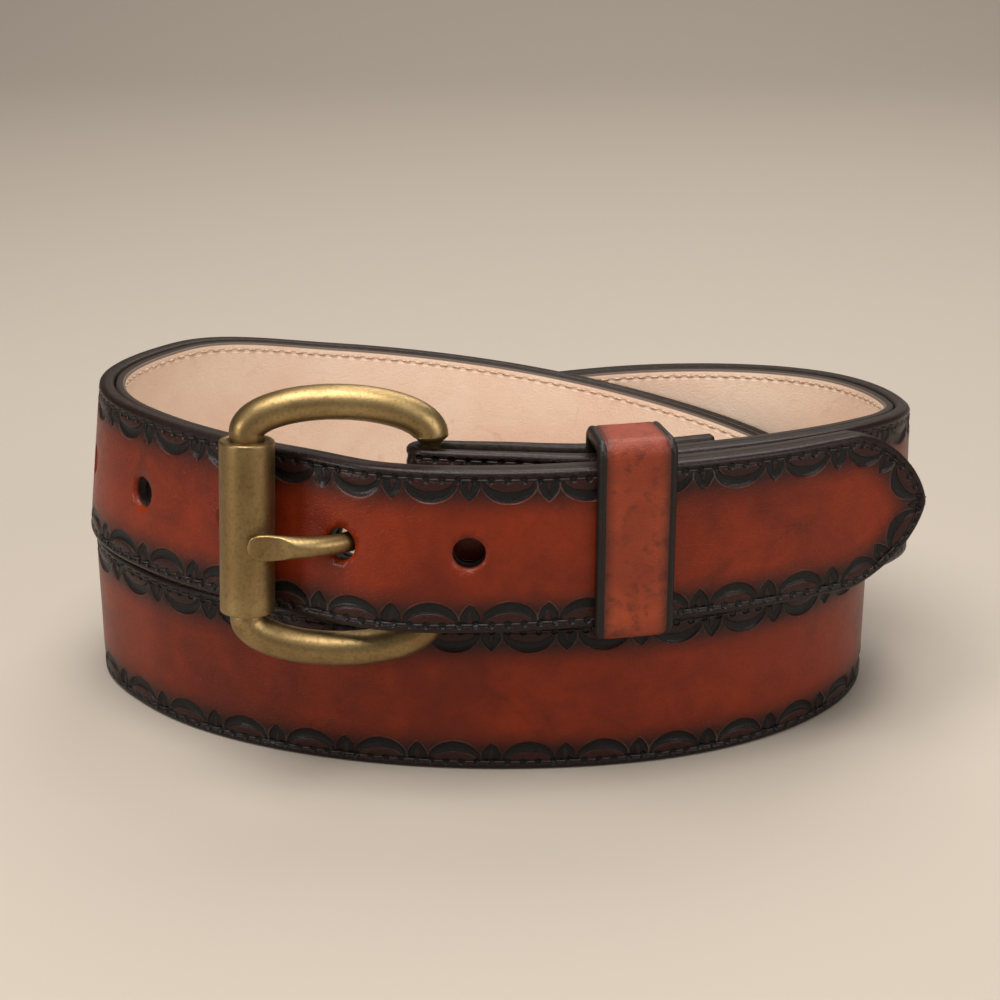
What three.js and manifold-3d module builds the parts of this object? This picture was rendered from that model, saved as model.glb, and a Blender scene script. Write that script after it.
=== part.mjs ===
// Western tooled leather belt with a roller buckle, fastened and coiled in two turns, standing on its edge.
// Millimetres, +Z up, +Y away from the front. The floor is z = 0 and the origin is under the coil's middle.
// The strap's path runs counterclockwise from above: from the fold at the buckle, twice round, to the tip.
import * as THREE from "three";
import { mergeVertices } from "three/addons/utils/BufferGeometryUtils.js";
import Module from "manifold-3d";

const wasm = await Module();
wasm.setup();

// Strap: tooled leather outside, natural lining inside
const strapWidth = 32;
const leatherThickness = 3.1;
const liningThickness = 2.0;
const foldThickness = 2.2; // the leather is skived where it goes round the heel bar
const pieceGap = 0.3; // between two pieces that touch
const cornerBevel = 0.7; // along both edges of the tooled face
const liningInset = 0.25; // the lining's edges lie inside the leather's
const tipLength = 17;
const tipPoint = 1.6; // larger is blunter
const tipShoulder = 0.65; // smaller is fuller
const holeDiameter = 6.4;
const holePitch = 25;
const holesTowardsTip = 1; // beyond the hole that holds the prong
const holesTowardsBuckle = 3;
const tipFromProngHole = 121;
const turnBackLength = 58; // from the heel bar to the turned-back end

// Coil
const coilHalfWidth = 81;
const coilHalfDepth = 51;

// Keeper
const keeperWidth = 14.2;
const keeperWall = 2.2;
const keeperCorner = 3.2;
const keeperInnerCorner = 0.6;
const keeperFromHeel = 31.1; // along the strap, heel bar to keeper
const keeperEdgeClearance = 0.35;
const keeperHeadroom = 3; // more of it over the strap's top edge

// Buckle
const barSpacing = 34.3; // heel bar axis to roller axis
const heelBarRadius = 2.0;
const ringRodRadius = 3.35;
const rollerBarRadius = 3.15;
const rollerRadius = 5.25;
const rollerRunning = 0.35; // between the roller and its bar
const rollerOverhang = 0.8; // beyond each edge of the strap
const rollerEndPlay = 1.35;
const rollerLip = 0.3;
const ringRise = 6.2; // of the arcs beyond the straight bars
const rollerStrapClearance = 0.7;
const prongRadius = 2.1;
const prongLoopWall = 1.8;
const prongDrop = 2.2; // of the shank below the middle of the bars
const prongHoleReach = 16.8; // from the heel bar to the middle of the hole
const prongClearance = 0.35;
const slotMargin = 1; // the fold's slot beyond the prong's loop
const heelTurn = -0.024; // where on the path the heel bar lies

const strapThickness = leatherThickness + pieceGap + liningThickness;
const layerPitch = strapThickness + pieceGap;
const upperLevel = strapWidth + pieceGap + keeperWall + keeperEdgeClearance;
const foldInnerRadius = heelBarRadius + pieceGap;
const keeperPassage = keeperWall + 2 * pieceGap;
const rollerLength = strapWidth + 2 * rollerOverhang;
const ringStraight = rollerLength / 2 + rollerEndPlay; // half length of both straight bars

// The coil's path at mid width of the tooled face. turn: 0 is the front of the coil. reach: share of the coil's
// half width and depth. layers: strap layers outside that oval. lift: bottom edge, as a share of the upper level.
// lean: degrees that the top edge leans in.
const coilRows = [
  { turn: -0.08, reach: 0.98, layers: 1.0, lift: 1.05, lean: 6.5 },
  { turn: -0.04, reach: 0.978, layers: 1.0, lift: 1.05, lean: 6.5 },
  { turn: 0.0, reach: 0.973, layers: 1.0, lift: 1.038, lean: 3.0 },
  { turn: 0.04, reach: 0.966, layers: 1.0, lift: 1.004, lean: 0.0 },
  { turn: 0.08, reach: 0.968, layers: 1.0, lift: 1.0, lean: 0.0 },
  { turn: 0.12, reach: 0.978, layers: 1.0, lift: 0.985, lean: 0.5 },
  { turn: 0.16, reach: 0.997, layers: 1.0, lift: 0.955, lean: 1.0 },
  { turn: 0.2, reach: 1.013, layers: 1.0, lift: 0.9, lean: 1.5 },
  { turn: 0.25, reach: 1.017, layers: 1.0, lift: 0.812, lean: 3.0 },
  { turn: 0.33, reach: 1.02, layers: 1.0, lift: 0.729, lean: 2.0 },
  { turn: 0.42, reach: 1.023, layers: 1.0, lift: 0.585, lean: 1.0 },
  { turn: 0.5, reach: 1.028, layers: 1.0, lift: 0.405, lean: 1.0 },
  { turn: 0.58, reach: 1.034, layers: 1.0, lift: 0.218, lean: 1.0 },
  { turn: 0.67, reach: 1.034, layers: 1.0, lift: 0.055, lean: 0.5 },
  { turn: 0.75, reach: 1.047, layers: 0.1, lift: 0.0, lean: 0.0 },
  { turn: 0.83, reach: 1.01, layers: 0.0, lift: 0.0, lean: 0.0 },
  { turn: 0.92, reach: 1.0, layers: 0.0, lift: 0.0, lean: 0.0 },
  { turn: 1.0, reach: 1.006, layers: 0.0, lift: 0.0, lean: 0.0 },
  { turn: 1.08, reach: 1.02, layers: 0.0, lift: 0.0, lean: 0.0 },
  { turn: 1.17, reach: 1.004, layers: 0.0, lift: 0.0, lean: 0.0 },
  { turn: 1.25, reach: 0.994, layers: 0.0, lift: 0.0, lean: 0.0 },
  { turn: 1.33, reach: 1.0, layers: 0.0, lift: 0.207, lean: -0.5 },
  { turn: 1.42, reach: 1.003, layers: 0.0, lift: 0.407, lean: -1.0 },
  { turn: 1.5, reach: 1.005, layers: 0.0, lift: 0.603, lean: -1.0 },
  { turn: 1.58, reach: 1.004, layers: 0.0, lift: 0.785, lean: 0.0 },
  { turn: 1.67, reach: 1.01, layers: 0.0, lift: 0.968, lean: 3.0 },
  { turn: 1.75, reach: 1.038, layers: 0.0, lift: 0.98, lean: 6.5 },
  { turn: 1.83, reach: 1.034, layers: 0.0, lift: 0.995, lean: 8.0 },
  { turn: 1.87, reach: 1.03, layers: 0.2, lift: 1.0, lean: 7.5 },
  { turn: 1.9, reach: 1.01, layers: 0.65, lift: 1.0, lean: 7.0 },
  { turn: 1.93, reach: 0.985, layers: 1.25, lift: 1.0, lean: 6.5 },
  { turn: 1.96, reach: 0.978, layers: 1.96, lift: 1.0, lean: 6.5 },
  { turn: 1.98, reach: 0.976, layers: 2.08, lift: 1.0, lean: 5.0 },
  { turn: 2.0, reach: 0.973, layers: 2.06, lift: 1.0, lean: 3.0 },
  { turn: 2.04, reach: 0.966, layers: 2.0, lift: 1.0, lean: 0.0 },
  { turn: 2.08, reach: 0.968, layers: 2.0, lift: 1.0, lean: 0.0 },
  { turn: 2.12, reach: 0.978, layers: 2.0, lift: 0.992, lean: 0.5 },
  { turn: 2.15, reach: 0.992, layers: 2.15, lift: 0.987, lean: 1.0 },
  { turn: 2.18, reach: 1.005, layers: 3.1, lift: 0.985, lean: 1.0 },
  { turn: 2.22, reach: 1.015, layers: 4.7, lift: 0.985, lean: 1.0 },
];

const leatherBrown = new THREE.MeshStandardMaterial({ color: 0x8a3a20, roughness: 0.45 });
const naturalLeather = new THREE.MeshStandardMaterial({ color: 0xdfb995, roughness: 0.8 });
const keeperBrown = new THREE.MeshStandardMaterial({ color: 0x96472b, roughness: 0.5 });
const antiqueBrass = new THREE.MeshStandardMaterial({ color: 0x8d7448, roughness: 0.45, metalness: 1 });

// Interpolation

/** The slope of column key at row i, limited so that the curve never passes its rows. */
function rowSlope(rows, i, key) {
  if (i === 0 || i === rows.length - 1) return 0;
  const before = (rows[i][key] - rows[i - 1][key]) / (rows[i].turn - rows[i - 1].turn);
  const after = (rows[i + 1][key] - rows[i][key]) / (rows[i + 1].turn - rows[i].turn);
  return before * after <= 0 ? 0 : (2 * before * after) / (before + after);
}

/** Column key of the table at a turn, as a smooth monotone curve through its rows. */
function rowValue(rows, turn, key) {
  const last = rows.length - 2;
  const found = rows.findIndex((row, k) => k <= last && turn < rows[k + 1].turn);
  const i = found < 0 ? last : found;
  const span = rows[i + 1].turn - rows[i].turn;
  const t = THREE.MathUtils.clamp((turn - rows[i].turn) / span, 0, 1);
  const start = rows[i][key];
  const end = rows[i + 1][key];
  const startSlope = rowSlope(rows, i, key) * span;
  const endSlope = rowSlope(rows, i + 1, key) * span;
  const eased = t * t * (3 - 2 * t);
  return start + (end - start) * eased + t * (1 - t) * ((1 - t) * startSlope - t * endSlope);
}

// The strap's path

/** The middle of the tooled face at a turn of the coil. */
function pathPoint(turn) {
  const angle = 2 * Math.PI * (turn - 0.25);
  const reach = rowValue(coilRows, turn, "reach");
  const across = new THREE.Vector3(
    Math.cos(angle) * coilHalfDepth,
    Math.sin(angle) * coilHalfWidth,
    0,
  ).normalize();
  const point = new THREE.Vector3(
    Math.cos(angle) * coilHalfWidth * reach,
    Math.sin(angle) * coilHalfDepth * reach,
    rowValue(coilRows, turn, "lift") * upperLevel + strapWidth / 2,
  );
  return point.addScaledVector(across, rowValue(coilRows, turn, "layers") * layerPitch);
}

/** The strap's frame at a turn: its point, the way it runs, out of the tooled face, and up across its width. */
function pathFrame(turn) {
  const step = 0.0008;
  const along = pathPoint(turn + step).sub(pathPoint(turn - step)).normalize();
  const level = new THREE.Vector3(along.y, -along.x, 0).normalize();
  const upright = level.clone().cross(along);
  const lean = THREE.MathUtils.degToRad(rowValue(coilRows, turn, "lean"));
  const up = upright.clone().multiplyScalar(Math.cos(lean)).addScaledVector(level, -Math.sin(lean));
  const out = level.clone().multiplyScalar(Math.cos(lean)).addScaledVector(upright, Math.sin(lean));
  return { point: pathPoint(turn), along, out, up };
}

/** Length along the path for evenly spaced turns, and the way back from a length to its turn. */
function measurePath() {
  const turnStep = 0.001;
  const first = coilRows[0].turn;
  const last = coilRows.at(-1).turn;
  const turns = [first];
  const lengths = [0];
  let before = pathPoint(first);
  for (let turn = first + turnStep; turn < last; turn += turnStep) {
    const here = pathPoint(turn);
    turns.push(turn);
    lengths.push(lengths.at(-1) + here.distanceTo(before));
    before = here;
  }
  const between = (from, to, value) => {
    const i = Math.max(1, Math.min(from.length - 1, from.findIndex((v) => v >= value)));
    const share = (value - from[i - 1]) / (from[i] - from[i - 1]);
    return to[i - 1] + (to[i] - to[i - 1]) * share;
  };
  return {
    lengthAt: (turn) => between(turns, lengths, turn),
    turnAt: (length) => between(lengths, turns, length),
  };
}

const path = measurePath();
const heelLength = path.lengthAt(heelTurn);

// The buckle's place: the heel bar lies in the strap's fold, and the roller lies on the strap one turn pair later

/** The first of two turns, to a fine step, where test changes sign. */
function findTurn(low, high, test) {
  const lowSign = Math.sign(test(low));
  for (let i = 0; i < 40; i += 1) {
    const middle = (low + high) / 2;
    if (Math.sign(test(middle)) === lowSign) low = middle;
    else high = middle;
  }
  return (low + high) / 2;
}

const heelFrame = pathFrame(heelTurn);
const heelPoint = heelFrame.point.clone().addScaledVector(heelFrame.out, -foldThickness - foldInnerRadius);

/** Where the roller's axis would be if it lay on the strap at a turn. */
function rollerPoint(turn) {
  const frame = pathFrame(turn);
  return frame.point.clone().addScaledVector(frame.out, rollerRadius + rollerStrapClearance);
}

const rollerTurn = findTurn(1.8, 1.97, (turn) => rollerPoint(turn).distanceTo(heelPoint) - barSpacing);

/** The buckle's frame: its origin on the heel bar, x to the roller, y out of the strap, z up the bars. */
function buckleFrame() {
  const z = heelFrame.up;
  const toRoller = rollerPoint(rollerTurn).sub(heelPoint);
  const x = toRoller.addScaledVector(z, -toRoller.dot(z)).normalize();
  const y = z.clone().cross(x);
  return new THREE.Matrix4().makeBasis(x, y, z).setPosition(heelPoint);
}

const buckleMatrix = buckleFrame();
const buckleInverse = buckleMatrix.clone().invert();

/** How far a turn's path point lies from the heel bar towards the roller. */
function reachInBuckle(turn) {
  return pathPoint(turn).applyMatrix4(buckleInverse).x;
}

const prongHoleTurn = findTurn(1.88, 2.0, (turn) => reachInBuckle(turn) - prongHoleReach);
const prongHoleLength = path.lengthAt(prongHoleTurn);
const strapEnd = prongHoleLength + tipFromProngHole;

// Solids

/** A closed surface through rings of points: joined into a loop, or capped at both ends. Each patch between
 * two rings is split along its shorter diagonal, so that two twisted faces side by side stay parallel. */
function skin(rings, looped) {
  const sides = rings[0].length;
  const points = rings.flat();
  const positions = points.flatMap((point) => point.toArray());
  const index = [];
  const spans = looped ? rings.length : rings.length - 1;
  for (let i = 0; i < spans; i += 1) {
    const next = (i + 1) % rings.length;
    for (let j = 0; j < sides; j += 1) {
      const k = (j + 1) % sides;
      const [a, b, c, d] = [i * sides + j, next * sides + j, next * sides + k, i * sides + k];
      if (points[b].distanceTo(points[d]) < points[a].distanceTo(points[c])) index.push(a, b, d, b, c, d);
      else index.push(a, b, c, a, c, d);
    }
  }
  const lastRing = (rings.length - 1) * sides;
  for (let j = 1; !looped && j < sides - 1; j += 1) {
    index.push(0, j, j + 1);
    index.push(lastRing, lastRing + j + 1, lastRing + j);
  }
  const geometry = new THREE.BufferGeometry();
  geometry.setAttribute("position", new THREE.Float32BufferAttribute(positions, 3));
  geometry.setIndex(index);
  return geometry;
}

/** A closed geometry as a solid for joining and cutting. */
function solidOf(geometry) {
  const plain = geometry.clone();
  plain.deleteAttribute("normal");
  plain.deleteAttribute("uv");
  const merged = mergeVertices(plain, 1e-4);
  return new wasm.Manifold(
    new wasm.Mesh({
      numProp: 3,
      vertProperties: new Float32Array(merged.attributes.position.array),
      triVerts: new Uint32Array(merged.index.array),
    }),
  );
}

/** A solid as geometry. */
function geometryOf(solid) {
  const made = solid.getMesh();
  const geometry = new THREE.BufferGeometry();
  geometry.setAttribute("position", new THREE.BufferAttribute(made.vertProperties, 3));
  geometry.setIndex(new THREE.BufferAttribute(made.triVerts, 1));
  geometry.computeVertexNormals();
  return geometry;
}

/** A ring of points round an oval: its two half sizes lie along the two axes. */
function ovalRing(centre, firstAxis, firstHalf, secondAxis, secondHalf, sides) {
  return Array.from({ length: sides }, (_, j) => {
    const angle = (2 * Math.PI * (j + 0.5)) / sides;
    return centre
      .clone()
      .addScaledVector(firstAxis, Math.cos(angle) * firstHalf)
      .addScaledVector(secondAxis, Math.sin(angle) * secondHalf);
  });
}

// Strap sections

/** Half the strap's width at a length: full, and drawn in to the rounded point at the tip. */
function halfWidthAt(length) {
  const share = THREE.MathUtils.clamp((length - strapEnd + tipLength) / tipLength, 0, 1);
  return (strapWidth / 2) * (1 - share ** tipPoint) ** tipShoulder;
}

/** 0 at the heel bar's fold and 1 from the keeper on. */
function pastFold(length) {
  return THREE.MathUtils.smoothstep(length - heelLength, foldInnerRadius * 4, keeperFromHeel);
}

/** The outer leather's thickness at a length. */
function leatherAt(length) {
  return THREE.MathUtils.lerp(foldThickness, leatherThickness, pastFold(length));
}

/** The distance between the tooled faces of the front layer and the turned-back layer. */
function turnBackDepth(length) {
  const passage = THREE.MathUtils.lerp(2 * foldInnerRadius, keeperPassage, pastFold(length));
  return 2 * leatherAt(length) + passage;
}

/** A leather section with bevelled corners on its tooled face. */
function leatherRing(frame, half, thickness) {
  const bevel = Math.min(cornerBevel, half * 0.6, thickness * 0.4);
  const corners = [
    [thickness, -half],
    [bevel, -half],
    [0, bevel - half],
    [0, half - bevel],
    [bevel, half],
    [thickness, half],
  ];
  return corners.map(([depth, height]) => pointIn(frame, depth, height));
}

/** The point at a depth behind a frame's tooled face and a height above its middle. */
function pointIn(frame, depth, height) {
  return frame.point.clone().addScaledVector(frame.out, -depth).addScaledVector(frame.up, height);
}

/** Evenly spaced lengths, ends included. */
function spread(from, to, step) {
  const count = Math.max(1, Math.ceil((to - from) / step));
  return Array.from({ length: count + 1 }, (_, i) => from + ((to - from) * i) / count);
}

const facetStep = 4.6; // along the strap
const tipSections = 9;
const tipEndHalf = 0.9; // the tip's last section, so that it stays a solid

/** The lengths of the strap's sections from the heel bar to the tip. */
function strapLengths() {
  const body = spread(heelLength, strapEnd - tipLength, facetStep);
  const tip = Array.from(
    { length: tipSections },
    (_, i) => strapEnd - tipLength * (1 - Math.sin((Math.PI / 2) * ((i + 1) / (tipSections + 0.5)))),
  );
  return [...body, ...tip];
}

/** The turned-back layer's frame: the same path at its depth, facing in. */
function turnBackFrame(length) {
  const frame = pathFrame(path.turnAt(length));
  return {
    point: pointIn(frame, turnBackDepth(length), 0),
    out: frame.out.clone().negate(),
    up: frame.up,
  };
}

/** Frames round the heel bar, from the turned-back side to the front. */
function foldFrames() {
  const steps = 12;
  const radius = foldInnerRadius + foldThickness;
  return Array.from({ length: steps - 1 }, (_, i) => {
    const angle = (Math.PI * (i + 1)) / steps;
    const out = heelFrame.out
      .clone()
      .multiplyScalar(-Math.cos(angle))
      .addScaledVector(heelFrame.along, -Math.sin(angle));
    return { point: heelPoint.clone().addScaledVector(out, radius), out, up: heelFrame.up };
  });
}

/** The whole outer leather: turned-back layer, fold, and the strap to its tip. */
function outerLeather() {
  const full = strapWidth / 2;
  const turnedBack = spread(heelLength, heelLength + turnBackLength, facetStep)
    .reverse()
    .map((length) => leatherRing(turnBackFrame(length), full, leatherAt(length)));
  const fold = foldFrames().map((frame) => leatherRing(frame, full, foldThickness));
  const strap = strapLengths().map((length) => {
    const half = Math.max(tipEndHalf, halfWidthAt(length));
    return leatherRing(pathFrame(path.turnAt(length)), half, leatherAt(length));
  });
  return skin([...turnedBack, ...fold, ...strap], false);
}

const keeperStart = heelLength + keeperFromHeel;
const liningStart = keeperStart + keeperWidth + 1.2;

/** The lining, behind the leather from just past the keeper to the tip. */
function lining() {
  const sections = strapLengths().filter((length) => length > liningStart + facetStep / 4);
  const rings = [liningStart, ...sections].map((length) => {
    const frame = pathFrame(path.turnAt(length));
    const half = Math.max(tipEndHalf, halfWidthAt(length)) - liningInset;
    const front = leatherAt(length) + pieceGap;
    const back = front + liningThickness;
    const corners = [
      [back, -half],
      [front, -half],
      [front, half],
      [back, half],
    ];
    return corners.map(([depth, height]) => pointIn(frame, depth, height));
  });
  return skin(rings, false);
}

// Cuts in the strap

/** A round punch through both layers at a length. */
function holePunch(length) {
  const frame = pathFrame(path.turnAt(length));
  const punch = new THREE.CylinderGeometry(holeDiameter / 2, holeDiameter / 2, 4 * strapThickness, 20);
  const basis = new THREE.Matrix4().makeBasis(frame.along, frame.out, frame.along.clone().cross(frame.out));
  return solidOf(punch.applyMatrix4(basis.setPosition(frame.point)));
}

/** The slot in the fold that the prong's loop turns in. */
function prongSlot() {
  const beyondFold = foldInnerRadius + foldThickness + slotMargin;
  const beyondLoop = prongLoopRadius + slotMargin;
  const height = 2 * (prongRadius + prongClearance);
  const box = new THREE.BoxGeometry(beyondFold + beyondLoop, 2 * beyondFold, height);
  box.translate((beyondFold - beyondLoop) / 2, 0, 0);
  return solidOf(box.applyMatrix4(buckleMatrix));
}

// Buckle, in its own frame

const ringOffset = ringRodRadius - heelBarRadius;

/** The ring's centre line as points and rod radii. The thin heel bar is flush with the ring's back. */
function ringLine() {
  const half = barSpacing / 2;
  const arcSteps = 14;
  const barShares = [0.955, 0.905, 0.3, -0.3, -0.905, -0.955];
  const line = [];
  const addArc = (side) => {
    for (let i = 0; i <= arcSteps; i += 1) {
      const angle = (Math.PI * i) / arcSteps;
      const x = half - side * Math.cos(angle) * half;
      const z = side * (ringStraight + Math.sin(angle) * ringRise);
      line.push({ x, y: ringOffset * (1 - x / barSpacing), z, radius: ringRodRadius });
    }
  };
  const addBar = (x, side, radius) => {
    barShares.forEach((share, i) => {
      const atEnd = i === 0 || i === barShares.length - 1;
      const rod = atEnd ? (radius + ringRodRadius) / 2 : radius;
      const y = atEnd && x === 0 ? ringOffset / 2 : 0;
      line.push({ x, y, z: side * share * ringStraight, radius: rod });
    });
  };
  addArc(1);
  addBar(barSpacing, 1, rollerBarRadius);
  addArc(-1);
  addBar(0, -1, heelBarRadius);
  return line;
}

/** The ring: a round rod along the closed centre line, thinner where the strap folds round it. */
function ringGeometry() {
  const line = ringLine();
  const outward = new THREE.Vector3(0, 1, 0);
  const rings = line.map((at, i) => {
    const before = line.at(i - 1);
    const after = line[(i + 1) % line.length];
    const along = new THREE.Vector3(after.x - before.x, 0, after.z - before.z).normalize();
    const across = outward.clone().cross(along);
    const centre = new THREE.Vector3(at.x, at.y, at.z);
    return ovalRing(centre, outward, at.radius, across, at.radius, 12);
  });
  return skin(rings, true);
}

/** The roller: a tube with eased lips, standing round the ring's front bar. */
function rollerGeometry() {
  const inner = rollerBarRadius + rollerRunning;
  const half = rollerLength / 2;
  const profile = [
    [inner, -half],
    [rollerRadius - rollerLip, -half],
    [rollerRadius, rollerLip - half],
    [rollerRadius, half - rollerLip],
    [rollerRadius - rollerLip, half],
    [inner, half],
    [inner, -half],
  ].map(([x, y]) => new THREE.Vector2(x, y));
  return new THREE.LatheGeometry(profile, 28).rotateX(Math.PI / 2);
}

const prongLoopRadius = heelBarRadius + pieceGap + prongLoopWall;
const prongTipDepth = 0.72; // share of the prong's radius, over the roller

// The shank, from the loop to the tip. reach: share of the bar spacing from the heel bar. rise: share of the
// climb out of the strap. drop: share of the drop. half: share of the prong's radius along the bars. depth: the
// same, out of the strap.
const shankRows = [
  { reach: 0.093, rise: 0.0, drop: 0.0, half: 1.0, depth: 0.85 },
  { reach: 0.22, rise: -0.02, drop: 0.15, half: 1.0, depth: 1.0 },
  { reach: 0.327, rise: 0.06, drop: 0.6, half: 1.0, depth: 1.0 },
  { reach: 0.42, rise: 0.33, drop: 0.95, half: 1.0, depth: 1.0 },
  { reach: 0.51, rise: 0.65, drop: 1.0, half: 1.0, depth: 1.0 },
  { reach: 0.61, rise: 0.87, drop: 1.0, half: 1.0, depth: 1.0 },
  { reach: 0.73, rise: 0.97, drop: 1.0, half: 1.05, depth: 1.0 },
  { reach: 0.83, rise: 1.0, drop: 1.0, half: 1.15, depth: 0.9 },
  { reach: 0.9, rise: 1.0, drop: 1.0, half: 1.22, depth: prongTipDepth },
  { reach: 0.96, rise: 1.0, drop: 1.0, half: 0.95, depth: 0.55 },
  { reach: 0.995, rise: 1.0, drop: 1.0, half: 0.35, depth: 0.35 },
];

/** The shank, grown by a margin where it serves as a cutter. */
function shankGeometry(margin) {
  const upright = new THREE.Vector3(0, 0, 1);
  const climb = rollerRadius + pieceGap + prongRadius * prongTipDepth;
  const centres = shankRows.map(
    (row) => new THREE.Vector3(row.reach * barSpacing, row.rise * climb, -row.drop * prongDrop),
  );
  const rings = shankRows.map((row, i) => {
    const before = centres[Math.max(0, i - 1)];
    const after = centres[Math.min(centres.length - 1, i + 1)];
    const across = upright.clone().cross(after.clone().sub(before).normalize());
    const half = row.half * prongRadius + margin;
    return ovalRing(centres[i], upright, half, across, row.depth * prongRadius + margin, 12);
  });
  return skin(rings, false);
}

/** The prong: a loop that turns on the heel bar, joined to its shank. */
function prongSolid() {
  const inner = heelBarRadius + pieceGap;
  const profile = [
    [inner, -prongRadius],
    [prongLoopRadius, -prongRadius],
    [prongLoopRadius, prongRadius],
    [inner, prongRadius],
    [inner, -prongRadius],
  ].map(([x, y]) => new THREE.Vector2(x, y));
  const loop = new THREE.LatheGeometry(profile, 24).rotateX(Math.PI / 2);
  return solidOf(loop).add(solidOf(shankGeometry(0)));
}

// Keeper

/** A rectangle with rounded corners, as depths and heights round a strap frame. */
function roundedLoop(nearDepth, farDepth, halfHeight, corner) {
  const arcSteps = 3;
  const middle = (nearDepth + farDepth) / 2;
  const halfDepth = (farDepth - nearDepth) / 2;
  const corners = [
    [1, 1],
    [-1, 1],
    [-1, -1],
    [1, -1],
  ];
  return corners.flatMap(([deep, high], quarter) =>
    Array.from({ length: arcSteps + 1 }, (_, i) => {
      const angle = (Math.PI / 2) * (quarter + i / arcSteps);
      return {
        depth: middle + deep * (halfDepth - corner) + Math.cos(angle) * corner,
        height: high * (halfHeight - corner) + Math.sin(angle) * corner,
      };
    }),
  );
}

/** The keeper: a leather band round the strap's end and the front layer behind it. */
function keeperGeometry() {
  const near = -pieceGap;
  const far = layerPitch + leatherThickness + pieceGap;
  const inHeight = strapWidth / 2 + keeperEdgeClearance;
  const inner = roundedLoop(near, far, inHeight, keeperInnerCorner);
  const outer = roundedLoop(near - keeperWall, far + keeperWall, inHeight + keeperWall, keeperCorner);
  const frames = spread(0, keeperWidth, keeperWidth / 4).map((offset) =>
    pathFrame(path.turnAt(keeperStart + offset) + 2),
  );
  const raised = (height) => (height > 0 ? height + keeperHeadroom : height);
  const ringsOf = (loop) =>
    frames.map((frame) => loop.map(({ depth, height }) => pointIn(frame, depth, raised(height))));
  return skin([...ringsOf(inner), ...ringsOf(outer).reverse()], true);
}

// The belt

/** A node: a closed solid with its material, drawn as facets. */
function node(name, solid, material) {
  const mesh = new THREE.Mesh(geometryOf(solid), material);
  mesh.name = name;
  return mesh;
}

/** All pieces of the buckle in a group of their own, placed in the strap's fold. */
function buckleGroup() {
  const buckle = new THREE.Group();
  buckle.add(node("buckle_frame", solidOf(ringGeometry()), antiqueBrass));
  buckle.add(node("buckle_prong", prongSolid(), antiqueBrass));
  const roller = node("buckle_roller", solidOf(rollerGeometry()), antiqueBrass);
  roller.position.x = barSpacing;
  buckle.add(roller);
  buckle.applyMatrix4(buckleMatrix);
  return buckle;
}

/** Everything that is cut out of the strap, as one list of solids. */
function strapCuts() {
  const holes = [];
  for (let i = -holesTowardsBuckle; i <= holesTowardsTip; i += 1) {
    holes.push(holePunch(prongHoleLength + i * holePitch));
  }
  const passage = solidOf(shankGeometry(prongClearance).applyMatrix4(buckleMatrix));
  return [...holes, passage, prongSlot()];
}

/** The belt with its box's bottom centre at the origin. */
function belt() {
  const group = new THREE.Group();
  const cuts = strapCuts();
  const cutBy = (solid) => cuts.reduce((left, cut) => left.subtract(cut), solid);
  group.add(node("strap_outer", cutBy(solidOf(outerLeather())), leatherBrown));
  group.add(node("strap_lining", cutBy(solidOf(lining())), naturalLeather));
  group.add(node("keeper_loop", solidOf(keeperGeometry()), keeperBrown));
  group.add(buckleGroup());
  group.updateMatrixWorld(true);
  const box = new THREE.Box3().setFromObject(group, true);
  const centre = box.getCenter(new THREE.Vector3());
  group.position.set(-centre.x, -centre.y, -box.min.z);
  return group;
}

export default belt();
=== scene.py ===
"""A western tooled leather belt with a roller buckle, fastened and coiled in two turns on its edge.

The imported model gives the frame. The strap, its lining, the keeper and the buckle are made here again as fine
surfaces in the same places: every one is a grid that numpy works out along the strap's path or the ring's line.
Lengths are millimetres until a mesh is made, and metres in the meshes.
"""
import logging
import math
from dataclasses import dataclass, field
from enum import Enum
from typing import Callable, NamedTuple, Sequence

import bpy
import numpy as np
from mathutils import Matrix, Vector


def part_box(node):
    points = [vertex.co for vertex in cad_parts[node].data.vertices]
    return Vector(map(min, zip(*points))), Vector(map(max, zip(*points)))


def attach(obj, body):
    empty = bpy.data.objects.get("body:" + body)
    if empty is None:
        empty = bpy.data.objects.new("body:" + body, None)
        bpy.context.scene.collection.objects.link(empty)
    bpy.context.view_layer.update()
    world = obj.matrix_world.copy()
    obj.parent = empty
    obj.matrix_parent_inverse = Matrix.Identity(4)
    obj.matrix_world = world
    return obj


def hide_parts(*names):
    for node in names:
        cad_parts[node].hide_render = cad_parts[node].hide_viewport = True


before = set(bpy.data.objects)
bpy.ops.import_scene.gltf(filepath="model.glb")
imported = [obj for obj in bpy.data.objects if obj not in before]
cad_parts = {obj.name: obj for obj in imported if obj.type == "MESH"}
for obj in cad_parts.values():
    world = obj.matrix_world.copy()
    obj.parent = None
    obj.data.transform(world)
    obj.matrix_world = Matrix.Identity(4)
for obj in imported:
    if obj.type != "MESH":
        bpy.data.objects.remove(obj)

LOG = logging.getLogger("belt")
MM = 0.001
TINY = 1e-6
Array = np.ndarray


class Row(NamedTuple):
    """One row of the coil's path.

    turn 0 is the coil's front, and turn 0.25 its right side. reach is a share of the coil's half width and depth.
    layers counts strap layers outside that oval. lift is the bottom edge as a share of the upper level. lean is the
    degrees that the top edge leans in.
    """

    turn: float
    reach: float
    layers: float
    lift: float
    lean: float


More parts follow.
